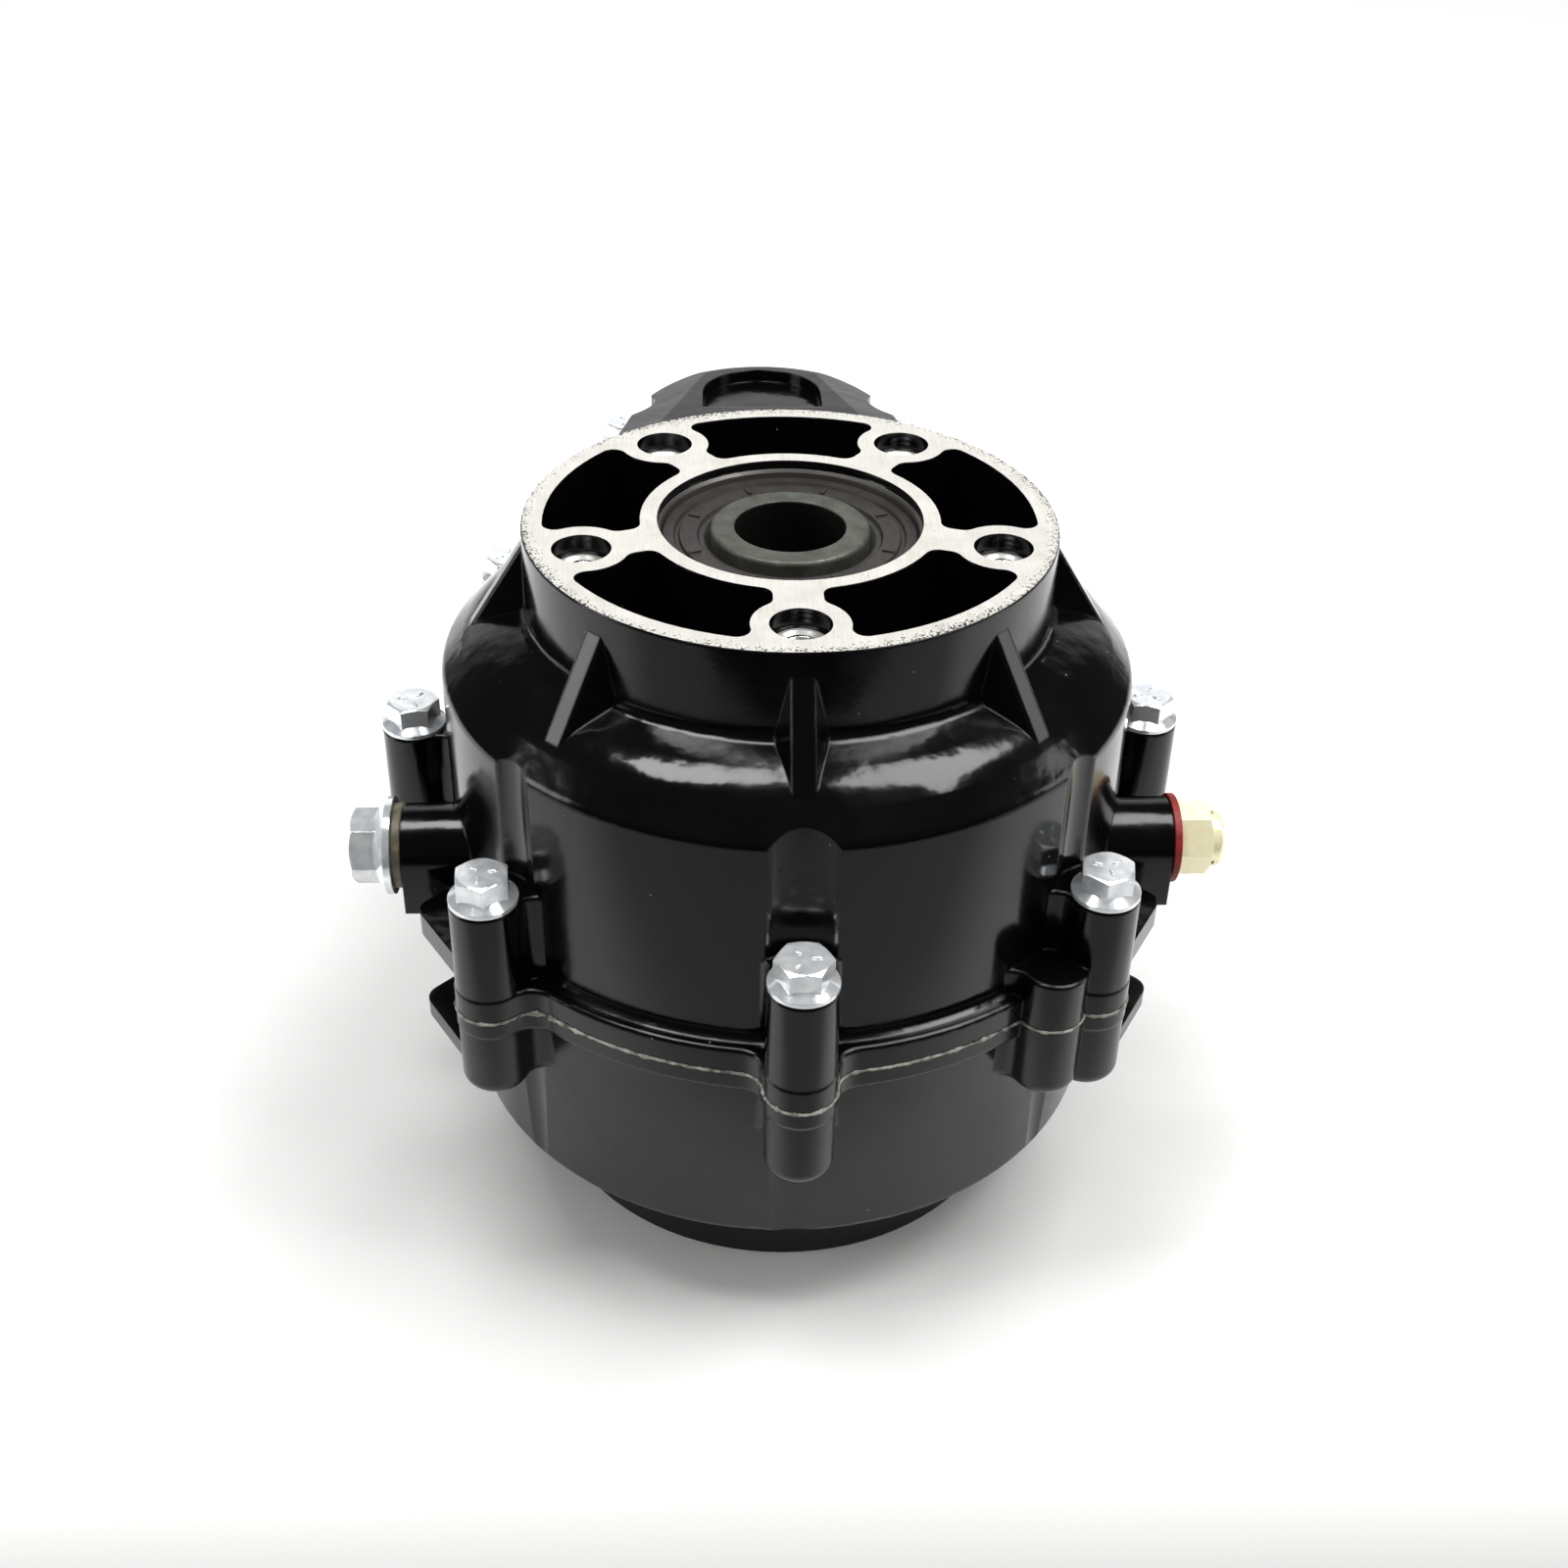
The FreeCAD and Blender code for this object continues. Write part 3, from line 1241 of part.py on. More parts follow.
def ring_gear():
    top = ring_bottom + ring_width
    web_top = ring_web_bottom + ring_web_thickness
    gear = spur_gear(ring_teeth, final_module, ring_bottom, top, 90)
    gear = gear.cut(cylinder(ring_rim_inner, ring_bottom - 1, top + 1))
    web = turned([(cup_radius + fit_gap, ring_web_bottom, 0), (ring_rim_inner + 1, ring_web_bottom, 0),
                  (ring_rim_inner + 1, web_top, 0), (cup_radius + fit_gap, web_top, 0)])
    gear = merged([gear, web])
    for x, y in ring_bolt_places():
        gear = gear.cut(cylinder(bolt_shank_radius + ring_bolt_gap, ring_web_bottom - 1, web_top + 1, x, y))
    return single(gear)


def ring_bolts():
    seat = ring_web_bottom + ring_web_thickness
    length = seat - case_bottom
    head = chamfered_hexagon(bolt_across_flats, 0, ring_bolt_head)
    shank = cylinder(bolt_shank_radius, -length, 0.5)
    bolt = single(merged([head, shank]))
    placed = []
    for x, y in ring_bolt_places():
        copy = bolt.copy()
        copy.translate(vec(x, y, seat))
        placed.append(copy)
    return Part.makeCompound(placed)


def planet_pin():
    pin = Part.makeCylinder(planet_pin_radius, 2 * cup_radius - 1, vec(0, 0.5 - cup_radius, diff_height),
                            vec(0, 1, 0))
    return single(pin.cut(cylinder(lock_pin_radius + fit_gap, diff_height - 10, diff_height + 10, 0,
                                   lock_pin_y)))


def planet_pin_lock():
    return cylinder(lock_pin_radius, diff_height - lock_pin_length / 2, diff_height + lock_pin_length / 2,
                    0, lock_pin_y)


def planet_washers():
    inner = planet_back_radius + thrust_gap
    shell = Part.makeSphere(cup_cavity_radius - thrust_gap).cut(Part.makeSphere(inner))
    tube = cylinder(planet_washer_radius, 0, cup_cavity_radius + 1)
    tube = tube.cut(cylinder(planet_pin_radius + washer_bore_gap, -1, cup_cavity_radius + 2))
    cap = shell.common(tube)
    return Part.makeCompound([single(across(cap, True)), single(across(cap, False))])


def side_washer(bottom):
    inner = side_hub_radius + washer_bore_gap
    outer = cup_cavity_radius - side_pocket_inset - washer_edge_gap
    return turned([(inner, bottom, 0), (outer, bottom, 0), (outer, bottom + thrust_washer, 0),
                   (inner, bottom + thrust_washer, 0)])


# ---- intermediate shaft and input gear --------------------------------------------------

def key_box(clearance):
    low = gear_seat_radius - key_height / 2 - clearance
    high = gear_seat_radius + key_height / 2 + clearance
    half = key_width / 2 + clearance
    return box(low, high, intermediate_y - half, intermediate_y + half,
               train_bottom + key_end_gap - clearance, train_top - key_end_gap + clearance)


def intermediate_shaft():
    pinion = spur_gear(pinion_teeth, final_module, pinion_bottom, pinion_top,
                       270 + 180 / pinion_teeth, 0, intermediate_y)
    groove = gear_seat_radius - circlip_groove_depth
    end = train_bearing + shaft_width
    seat_end = shaft_bearing + shaft_width
    chamfer = shaft_end_chamfer
    stem = turned([(0, shaft_bearing, 0), (shaft_bore - chamfer, shaft_bearing, 0),
                   (shaft_bore, shaft_bearing + chamfer, 0),
                   (shaft_bore, seat_end, 0), (gear_seat_radius, seat_end, 0),
                   (gear_seat_radius, pinion_top, 0),
                   (shaft_collar_radius, pinion_top, 0), (shaft_collar_radius, train_bottom, 0),
                   (gear_seat_radius, train_bottom, 0), (gear_seat_radius, train_top, 0),
                   (groove, train_top, 0),
                   (groove, train_top + circlip_thickness + groove_gap, 0),
                   (gear_seat_radius, train_top + circlip_thickness + groove_gap, 0),
                   (gear_seat_radius, train_bearing, 0), (shaft_bore, train_bearing, 0),
                   (shaft_bore, end - chamfer, 0), (shaft_bore - chamfer, end, 0), (0, end, 0)],
                  0, intermediate_y)
    return single(merged([pinion, stem]).cut(key_box(fit_gap)))


def intermediate_gear():
    gear = spur_gear(intermediate_teeth, first_module, train_bottom, train_top, 90, 0, intermediate_y)
    for low, high in ((train_bottom - 1, train_bottom + gear_web_recess),
                      (train_top - gear_web_recess, train_top + 1)):
        ring = cylinder(gear_web_outer, low, high, 0, intermediate_y)
        gear = gear.cut(ring.cut(cylinder(gear_web_inner, low, high, 0, intermediate_y)))
    gear = gear.cut(cylinder(gear_seat_radius + fit_gap, train_bottom - 1, train_top + 1, 0, intermediate_y))
    slot = key_box(fit_gap)
    for run in (key_slot_run, -key_slot_run):
        slot = slot.fuse(key_box(fit_gap).translated(vec(0, 0, run)))
    return single(gear.cut(slot))


def circlip():
    inner = gear_seat_radius - circlip_groove_depth + fit_gap
    outer = inner + circlip_reach
    low = train_top + groove_gap / 2
    ring = turned([(inner, low, 0), (outer, low, 0), (outer, low + circlip_thickness, 0),
                   (inner, low + circlip_thickness, 0)], 0, intermediate_y)
    gap = box(-circlip_gap_half, circlip_gap_half, intermediate_y, intermediate_y + outer + 1, low - 1,
              low + circlip_thickness + 1)
    return single(ring.cut(gap))


def input_gear():
    gear = spur_gear(input_teeth, first_module, train_bottom, train_top, 270 + 180 / input_teeth, 0, input_y)
    bottom = rear_floor_height + motor_pilot_depth + 1
    seat_end = hub_bearing + hub_width
    top = train_bearing + hub_width
    chamfer = shaft_end_chamfer
    hub = turned([(0, bottom, 0), (hub_bore - chamfer, bottom, 0), (hub_bore, bottom + chamfer, 0),
                  (hub_bore, seat_end, 0), (input_shoulder_radius, seat_end, 0),
                  (input_shoulder_radius, train_bearing, 0), (hub_bore, train_bearing, 0),
                  (hub_bore, top - chamfer, 0), (hub_bore - chamfer, top, 0), (0, top, 0)], 0, input_y)
    gear = merged([gear, hub])
    gear = gear.cut(cylinder(input_spline_radius, bottom - 1, top - input_end_wall, 0, input_y))
    groove = box(input_spline_radius - 2, input_spline_radius + input_spline_depth,
                 input_y - input_spline_width / 2, input_y + input_spline_width / 2, bottom - 1,
                 top - input_end_wall)
    for k in range(input_spline_count):
        gear = gear.cut(around(groove, 360 / input_spline_count * k, 0, input_y))
    return single(gear)


# ---- all pieces -------------------------------------------------------------------------

def pieces():
    yield "upper_housing", upper_housing()
    yield "lower_housing", lower_housing()
    yield "split_gasket", split_gasket()
    yield "housing_bolts", housing_bolts()
    yield "housing_dowels", housing_dowels()
    yield "drain_plug", drain_plug()
    yield "drain_plug_washer", drain_plug_washer()
    yield "breather_body", breather_body()
    yield "breather_cap", breather_cap()
    yield "breather_washer", breather_washer()
    yield "upper_axle_seal", axle_seal(case_height, -1)
    yield "lower_axle_seal", axle_seal(0, 1)
    yield "input_seal", input_seal()
    for name, bottom in (("upper", upper_bearing), ("lower", lower_bearing)):
        outer, inner, balls = open_bearing(bottom)
        yield name + "_main_bearing_outer_race", outer
        yield name + "_main_bearing_inner_race", inner
        yield name + "_main_bearing_balls", balls
    for name, bottom in (("upper", train_bearing), ("lower", shaft_bearing)):
        outer, inner = shielded_bearing(shaft_bore, shaft_outer, shaft_width, bottom, intermediate_y)
        yield name + "_shaft_bearing_outer_race", outer
        yield name + "_shaft_bearing_inner_race", inner
    for name, bottom in (("upper", train_bearing), ("lower", hub_bearing)):
        outer, inner = shielded_bearing(hub_bore, hub_outer, hub_width, bottom, input_y)
        yield name + "_input_bearing_outer_race", outer
        yield name + "_input_bearing_inner_race", inner
    yield "differential_case_upper", case_upper()
    yield "differential_case_lower", case_lower()
    yield "ring_gear", ring_gear()
    yield "ring_gear_bolts", ring_bolts()
    yield "planet_pin", planet_pin()
    yield "planet_pin_lock", planet_pin_lock()
    yield "planet_washers", planet_washers()
    planet = planet_gear()
    yield "planet_gear_rear", across(planet, True)
    yield "planet_gear_front", across(planet, False)
    side = side_gear()
    upper = side.translated(vec(0, 0, diff_height))
    lower = side.mirror(vec(0, 0, 0), UP).translated(vec(0, 0, diff_height))
    yield "upper_side_gear", upper
    yield "lower_side_gear", lower
    yield "upper_side_washer", side_washer(cup_top - thrust_washer)
    yield "lower_side_washer", side_washer(ring_bottom)
    yield "intermediate_shaft", intermediate_shaft()
    yield "intermediate_gear", intermediate_gear()
    yield "intermediate_gear_key", key_box(0.0)
    yield "intermediate_circlip", circlip()
    yield "input_gear", input_gear()


os.makedirs("parts", exist_ok=True)
for name, shape in pieces():
    shape.exportStep("parts/" + name + ".step")
    print(name, len(shape.Solids), "solids", "valid" if shape.isValid() else "NOT VALID",
          round(shape.Volume / 1000, 1), "cm3")
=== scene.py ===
import json
import math

import bmesh
import bpy
from mathutils import Matrix, Vector, noise


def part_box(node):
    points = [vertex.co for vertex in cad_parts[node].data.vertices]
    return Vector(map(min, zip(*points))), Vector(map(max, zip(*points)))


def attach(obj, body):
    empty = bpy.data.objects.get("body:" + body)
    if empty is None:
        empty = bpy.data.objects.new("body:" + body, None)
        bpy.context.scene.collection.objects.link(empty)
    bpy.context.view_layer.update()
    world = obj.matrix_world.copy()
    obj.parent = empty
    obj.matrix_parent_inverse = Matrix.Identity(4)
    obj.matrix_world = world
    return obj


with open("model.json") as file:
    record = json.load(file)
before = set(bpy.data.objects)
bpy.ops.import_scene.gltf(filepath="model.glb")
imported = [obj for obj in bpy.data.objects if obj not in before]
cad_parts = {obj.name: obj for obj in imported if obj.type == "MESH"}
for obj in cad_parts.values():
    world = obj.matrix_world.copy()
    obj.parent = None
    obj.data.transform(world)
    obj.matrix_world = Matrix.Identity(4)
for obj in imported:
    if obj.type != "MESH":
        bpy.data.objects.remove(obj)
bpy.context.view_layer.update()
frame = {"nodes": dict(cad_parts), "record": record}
nodes = frame["nodes"]
mm = 0.001  # the dictionaries below give sizes in millimetres
bpy.context.scene.view_settings.view_transform = "Standard"
print("frame loaded:", len(nodes), "nodes")


def linear(hexColour):
    # sRGB hex to the linear colour that the sockets take
    channels = [int(hexColour[i:i + 2], 16) / 255 for i in (1, 3, 5)]
    return [c / 12.92 if c <= 0.04045 else ((c + 0.055) / 1.055) ** 2.4 for c in channels] + [1.0]


def add(tree, kind, settings=None, links=None):
    # settings go to the new node's sockets or properties, links bring in other nodes' outputs
    node = tree.nodes.new("ShaderNode" + kind)
    for key, value in (settings or {}).items():
        if isinstance(key, int) or key in node.inputs:
            node.inputs[key].default_value = value
        else:
            setattr(node, key, value)
    for key, source in (links or {}).items():
        tree.links.new(source, node.inputs[key])
    return node.outputs


def perMetre(size):
    return 1 / (size * mm)  # texture scale whose features are that many millimetres wide


def emptyMaterial(name):
    material = bpy.data.materials.new(name)
    material.use_nodes = True
    material.node_tree.nodes.clear()
    return material, material.node_tree


# The camera looks down at the front of the case, over the flange
camera = {"place": (-25.46, -461.58, 429.0), "yaw": -0.0547925, "pitch": 0.5953039, "roll": 0.0221150,
          "lens": 45.034, "sensor": 36}


def placeCamera():
    yaw, pitch, roll = camera["yaw"], camera["pitch"], camera["roll"]
    forward = Vector((-math.sin(yaw) * math.cos(pitch), math.cos(yaw) * math.cos(pitch), -math.sin(pitch)))
    level = Vector((math.cos(yaw), math.sin(yaw), 0))
    upright = level.cross(forward)
    across = level * math.cos(roll) + upright * math.sin(roll)
    upward = upright * math.cos(roll) - level * math.sin(roll)
    lens = bpy.data.cameras.new("studioCamera")
    lens.lens = camera["lens"]
    lens.sensor_width = camera["sensor"]
    lens.clip_start = 0.01
    body = bpy.data.objects.new("studioCamera", lens)
    turn = Matrix((across, upward, -forward)).transposed().to_4x4()
    body.matrix_world = Matrix.Translation(Vector(camera["place"]) * mm) @ turn
    bpy.context.scene.collection.objects.link(body)
    bpy.context.scene.camera = body


placeCamera()

# Sand-cast aluminium under baked black enamel: glossy and nearly black. The coat follows the waves of
# the sand and has faint orange peel, so highlights wobble, and a few specks of dust are caught in it.
# The upper case is a deeper black than the lower one, which came out a little duller.
enamels = {"black_casting": {"name": "bakedBlackEnamel", "colour": "#050506", "roughness": 0.11},
           "charcoal_casting": {"name": "bakedCharcoalEnamel", "colour": "#0c0c0d", "roughness": 0.17}}
coat = {"ior": 1.42,  # enamel is near 1.5, and this one mirrors a little less
        "dullest": 1.8, "dullWidth": 24.0, "dullFrom": 0.42, "dullTo": 0.66,
        "waveWidth": 16.0, "waveDepth": 0.55, "lumpWidth": 6.0, "lumpDepth": 0.1,
        "wallShare": 0.12, "wallTilt": 0.08, "shoulderTilt": 0.35,  # share of the relief on upright walls
        "peelWidth": 1.5, "peelDepth": 0.006, "edgeRadius": 0.9,
        "speck": "#a8a7a2", "speckSpacing": 7.0, "speckWidth": 0.3, "speckHeight": 0.1,
        "speckStrength": 0.6, "speckFrom": 0.72, "speckTo": 0.78}  # about a quarter of the cells get one

# The same aluminium where it is milled: pale and silky, with fine cutter lines, a soft mottle, and dark
# pits of the casting that lie thicker toward the flange's rim. Such a cutter leaves lines about 0.1 mm
# apart; they are drawn 0.5 mm apart so that they show.
milled = {"light": "#f8f5ee", "dark": "#e4e1d9", "metallic": 0.75, "roughness": 0.34,
          "lineWidth": 0.5, "lineLength": 14.0, "lineDrift": 20.0, "lineDepth": 0.012, "mottleWidth": 7.0,
          "cloudFrom": 0.75, "cloudTo": 1.25,
          "pit": "#2b2a28", "pitWidth": 0.7, "pitLevel": 0.8, "pitEdge": 0.05, "pitHollow": 4.0,
          "patchWidth": 38.0, "patchShare": 0.2, "rimWidth": 5.0, "rimShare": 0.2,
          # the seal pockets take a darker grey as painted shade
          "pocket": "#6d6a66", "mouth": "#d9d8d4"}

# Where the case is milled: both end faces, the seal pockets, the motor's face, and a step in the mouth of
# each flange hole. A pair is where the narrow change between metal and enamel starts and ends; depths
# count from the end faces.
cuts = {"height": 200.0, "faceDepth": (0.08, 0.04), "flangeRadius": 70.0,
        "pocketRadius": (34.6, 34.65), "pocketFloor": (18.0, 17.9), "pocketMouth": (2.6, 2.4),
        "motorY": 190.0, "motorRadius": (62.0, 62.1), "motorHeight": (38.04, 38.08),
        "holeCircle": 112.7, "holes": 5, "holeStart": 270.0,
        "mouthRadius": (6.65, 6.7), "mouthFloor": (5.9, 5.8), "mouthStep": (4.98, 4.9)}


def milledPlaces(tree, place):
    # masks for the end faces, the seal pockets, the motor's face and the hole mouths; then the radius
    half = cuts["height"] / 2
    axes = add(tree, "SeparateXYZ", {}, {0: place})
    flat = add(tree, "VectorMath", {"operation": "MULTIPLY", 1: (1, 1, 0)}, {0: place})[0]
    radius = add(tree, "VectorMath", {"operation": "LENGTH"}, {0: flat})["Value"]
    middle = add(tree, "Math", {"operation": "SUBTRACT", 1: half * mm}, {0: axes[2]})
    fromMiddle = add(tree, "Math", {"operation": "ABSOLUTE"}, {0: middle[0]})[0]
    fromMotor = add(tree, "VectorMath", {"operation": "DISTANCE", 1: (0, cuts["motorY"] * mm, 0)}, {0: flat})

    # the turn round the axis is folded onto one hole, so that one mask serves all of them
    turn = add(tree, "Math", {"operation": "ARCTAN2"}, {0: axes[1], 1: axes[0]})
    turn = add(tree, "Math", {"operation": "ADD", 1: 4 * math.pi - math.radians(cuts["holeStart"])},
               {0: turn[0]})
    turn = add(tree, "Math", {"operation": "PINGPONG", 1: math.pi / cuts["holes"]}, {0: turn[0]})
    cosine = add(tree, "Math", {"operation": "COSINE"}, {0: turn[0]})
    sine = add(tree, "Math", {"operation": "SINE"}, {0: turn[0]})
    folded = add(tree, "CombineXYZ", {}, {0: cosine[0], 1: sine[0]})
    folded = add(tree, "VectorMath", {"operation": "SCALE"}, {0: folded[0], "Scale": radius})
    fromHole = add(tree, "VectorMath", {"operation": "DISTANCE", 1: (cuts["holeCircle"] / 2 * mm, 0, 0)},
                   {0: folded[0]})

    # each mask is 1 inside a radius, and between two depths or below a height
    bounds = {"endFace": [("faceDepth", fromMiddle)],
              "pocket": [("pocketRadius", radius), ("pocketFloor", fromMiddle), ("pocketMouth", fromMiddle)],
              "motorFace": [("motorRadius", fromMotor["Value"]), ("motorHeight", axes[2])],
              "mouth": [("mouthRadius", fromHole["Value"]), ("mouthFloor", fromMiddle),
                        ("mouthStep", fromMiddle)]}
    masks = {}
    for name, limits in bounds.items():
        for key, measure in limits:
            low, high = cuts[key]
            rises = key in ("faceDepth", "pocketFloor", "mouthFloor")
            if measure is fromMiddle:
                low, high = half - low, half - high
            side = add(tree, "MapRange", {1: low * mm, 2: high * mm, 3: 0.0 if rises else 1.0,
                                          4: 1.0 if rises else 0.0}, {0: measure})[0]
            if name in masks:
                side = add(tree, "Math", {"operation": "MULTIPLY"}, {0: masks[name], 1: side})[0]
            masks[name] = side
    return masks, radius


def milledMetal(tree, place, masks, radius):
    # colour and relief of the bare metal
    pits = add(tree, "TexNoise", {"Scale": perMetre(milled["pitWidth"]), "Detail": 3.0, "Roughness": 0.6},
               {"Vector": place})
    patches = add(tree, "TexNoise", {"Scale": perMetre(milled["patchWidth"]), "Detail": 1.0},
                  {"Vector": place})
    nearRim = add(tree, "MapRange", {1: (cuts["flangeRadius"] - milled["rimWidth"]) * mm,
                                     2: cuts["flangeRadius"] * mm, 3: 0.0, 4: milled["rimShare"]},
                  {0: radius})
    level = add(tree, "Math", {"operation": "MULTIPLY_ADD", 1: milled["patchShare"]},
                {0: patches["Fac"], 2: nearRim[0]})
    level = add(tree, "Math", {"operation": "ADD"}, {0: pits["Fac"], 1: level[0]})
    opened = add(tree, "MapRange", {1: milled["pitLevel"], 2: milled["pitLevel"] + milled["pitEdge"]},
                 {0: level[0]})
    pitted = add(tree, "Math", {"operation": "MULTIPLY"}, {0: opened[0], 1: masks["endFace"]})[0]

    along = add(tree, "Mapping", {"Scale": (perMetre(milled["lineWidth"]), perMetre(milled["lineLength"]),
                                            perMetre(milled["lineDrift"]))}, {"Vector": place})
    lines = add(tree, "TexNoise", {"Scale": 1.0, "Detail": 3.0, "Roughness": 0.6}, {"Vector": along[0]})
    mottle = add(tree, "TexNoise", {"Scale": perMetre(milled["mottleWidth"]), "Detail": 3.0},
                 {"Vector": place})
    both = add(tree, "Math", {"operation": "ADD"}, {0: lines["Fac"], 1: mottle["Fac"]})
    share = add(tree, "MapRange", {1: milled["cloudFrom"], 2: milled["cloudTo"]}, {0: both[0]})
    metal = add(tree, "Mix", {"data_type": "RGBA", 6: linear(milled["dark"]), 7: linear(milled["light"])},
                {0: share[0]})
    # painted shade greys the seal pockets; the pits and the hole mouths take their own colours
    for mask, colour in ((masks["pocket"], "pocket"), (pitted, "pit"), (masks["mouth"], "mouth")):
        metal = add(tree, "Mix", {"data_type": "RGBA", 7: linear(milled[colour])}, {0: mask, 6: metal[2]})
    relief = add(tree, "Math", {"operation": "MULTIPLY_ADD", 1: -milled["pitHollow"]},
                 {0: pitted, 2: lines["Fac"]})
    cut = add(tree, "Bump", {"Distance": milled["lineDepth"] * mm}, {"Height": relief[0]})
    return metal[2], cut[0]


def enamelledCasting(enamel):
    material, tree = emptyMaterial(enamel["name"])
    place = add(tree, "TexCoord")["Object"]
    masks, radius = milledPlaces(tree, place)
    metal, cut = milledMetal(tree, place, masks, radius)
    bare = masks["endFace"]
    for name in ("pocket", "motorFace", "mouth"):
        bare = add(tree, "Math", {"operation": "MAXIMUM"}, {0: bare, 1: masks[name]})[0]

    # dust under the coat: here and there a pale speck that stands a little proud
    dust = add(tree, "TexVoronoi", {"Scale": perMetre(coat["speckSpacing"])}, {"Vector": place})
    size = coat["speckWidth"] / coat["speckSpacing"]
    speck = add(tree, "MapRange", {1: size / 2, 2: size, 3: 1.0, 4: 0.0}, {0: dust["Distance"]})
    draw = add(tree, "SeparateXYZ", {}, {0: dust["Color"]})
    draw = add(tree, "MapRange", {1: coat["speckFrom"], 2: coat["speckTo"], 3: 0.0, 4: coat["speckStrength"]},
               {0: draw[0]})
    shown = add(tree, "Math", {"operation": "MULTIPLY"}, {0: speck[0], 1: draw[0]})
    paint = add(tree, "Mix", {"data_type": "RGBA", 6: linear(enamel["colour"]), 7: linear(coat["speck"])},
                {0: shown[0]})
    skin = add(tree, "Mix", {"data_type": "RGBA"}, {0: bare, 6: paint[2], 7: metal})

    dull = add(tree, "TexNoise", {"Scale": perMetre(coat["dullWidth"]), "Detail": 3.0}, {"Vector": place})
    gloss = add(tree, "MapRange", {1: coat["dullFrom"], 2: coat["dullTo"], 3: enamel["roughness"],
                                   4: enamel["roughness"] * coat["dullest"]}, {0: dull["Fac"]})
    gloss = add(tree, "Mix", {"data_type": "FLOAT", 3: milled["roughness"]}, {0: bare, 2: gloss[0]})
    metallic = add(tree, "Math", {"operation": "MULTIPLY", 1: milled["metallic"]}, {0: bare})

    # waves and lumps of the sand show on the shoulder; the walls came out nearly flat
    facing = add(tree, "SeparateXYZ", {}, {0: add(tree, "NewGeometry")["Normal"]})
    wavy = add(tree, "MapRange", {1: coat["wallTilt"], 2: coat["shoulderTilt"], 3: coat["wallShare"], 4: 1.0},
               {0: facing[2]})
    relief = add(tree, "Bevel", {"samples": 4, "Radius": coat["edgeRadius"] * mm})
    for form in ("wave", "lump"):
        sand = add(tree, "TexNoise", {"Scale": perMetre(coat[form + "Width"]), "Detail": 2.0},
                   {"Vector": place})
        sand = add(tree, "Math", {"operation": "MULTIPLY"}, {0: sand["Fac"], 1: wavy[0]})
        relief = add(tree, "Bump", {"Distance": coat[form + "Depth"] * mm},
                     {"Height": sand[0], "Normal": relief[0]})
    peel = add(tree, "TexNoise", {"Scale": perMetre(coat["peelWidth"]), "Detail": 1.0}, {"Vector": place})
    relief = add(tree, "Bump", {"Distance": coat["peelDepth"] * mm},
                 {"Height": peel["Fac"], "Normal": relief[0]})
    relief = add(tree, "Bump", {"Distance": coat["speckHeight"] * mm},
                 {"Height": speck[0], "Normal": relief[0]})
    normal = add(tree, "Mix", {"data_type": "VECTOR"}, {0: bare, 4: relief[0], 5: cut})

    shader = add(tree, "BsdfPrincipled", {"IOR": coat["ior"]},
                 {"Base Color": skin[2], "Metallic": metallic[0], "Roughness": gloss[0], "Normal": normal[1]})
    add(tree, "OutputMaterial", {}, {"Surface": shader[0]})
    return material


# On metals and soft parts the colour runs from shade to colour in clouds; roughness and relief follow
# a grain a sixth as wide as the clouds
clouding = {"cloudFrom": 0.35, "cloudTo": 0.65, "grainFrom": 0.3, "grainTo": 0.7, "cloudPerGrain": 6}
metalSpread = {"smoothest": 0.75, "roughest": 1.3, "edgeRadius": 0.3}
metals = {
    # zinc electroplate on cold-headed steel: bright, a little blue, milky where it is thick
    "zinc_steel": {"name": "brightZincPlate", "colour": "#fdfefe", "shade": "#dfe5eb", "roughness": 0.15,
                   "cloud": 3.0, "relief": 0.003, "metallic": 0.66},
    # zinc plate dipped in yellow chromate: pale straw, glossy
    "yellow_zinc_steel": {"name": "yellowChromatedZinc", "colour": "#fffbd8", "shade": "#fdf4c4",
                          "roughness": 0.18, "cloud": 3.0, "relief": 0.003, "metallic": 0.4},
    # bearing steel, ground: clean and bright with a short soft sheen
    "ground_steel": {"name": "groundBearingSteel", "colour": "#cfd1d3", "shade": "#b5b8bb", "roughness": 0.18,
                     "cloud": 3.0, "relief": 0.01, "metallic": 1.0},
    # gear steel, case hardened and shaved: darker grey under an oil film
    "gear_steel": {"name": "hardenedGearSteel", "colour": "#8f9194", "shade": "#6e7073", "roughness": 0.32,
                   "cloud": 5.0, "relief": 0.01, "metallic": 1.0},
    # manganese phosphate on a turned forging: olive grey and matt, black inside the bore as painted shade
    "phosphated_steel": {"name": "phosphatedForging", "colour": "#5f615a", "shade": "#4b4d45",
                         "roughness": 0.5, "cloud": 6.0, "relief": 0.02, "metallic": 0.6,
                         "bore": (14.55, 14.8), "paintedBoreShade": "#161614"},
    # cast bronze, turned: warm yellow brown
    "bronze": {"name": "turnedBronze", "colour": "#c79a54", "shade": "#a87c3c", "roughness": 0.3,
               "cloud": 4.0, "relief": 0.01, "metallic": 1.0},
    # threads tapped in the bare casting: bright crests, darker flanks (worn by the scene's own threads)
    "tapped": {"name": "tappedAluminium", "colour": "#d5d6d6", "shade": "#b0b2b3", "roughness": 0.25,
               "cloud": 2.0, "relief": 0.01, "metallic": 1.0}}


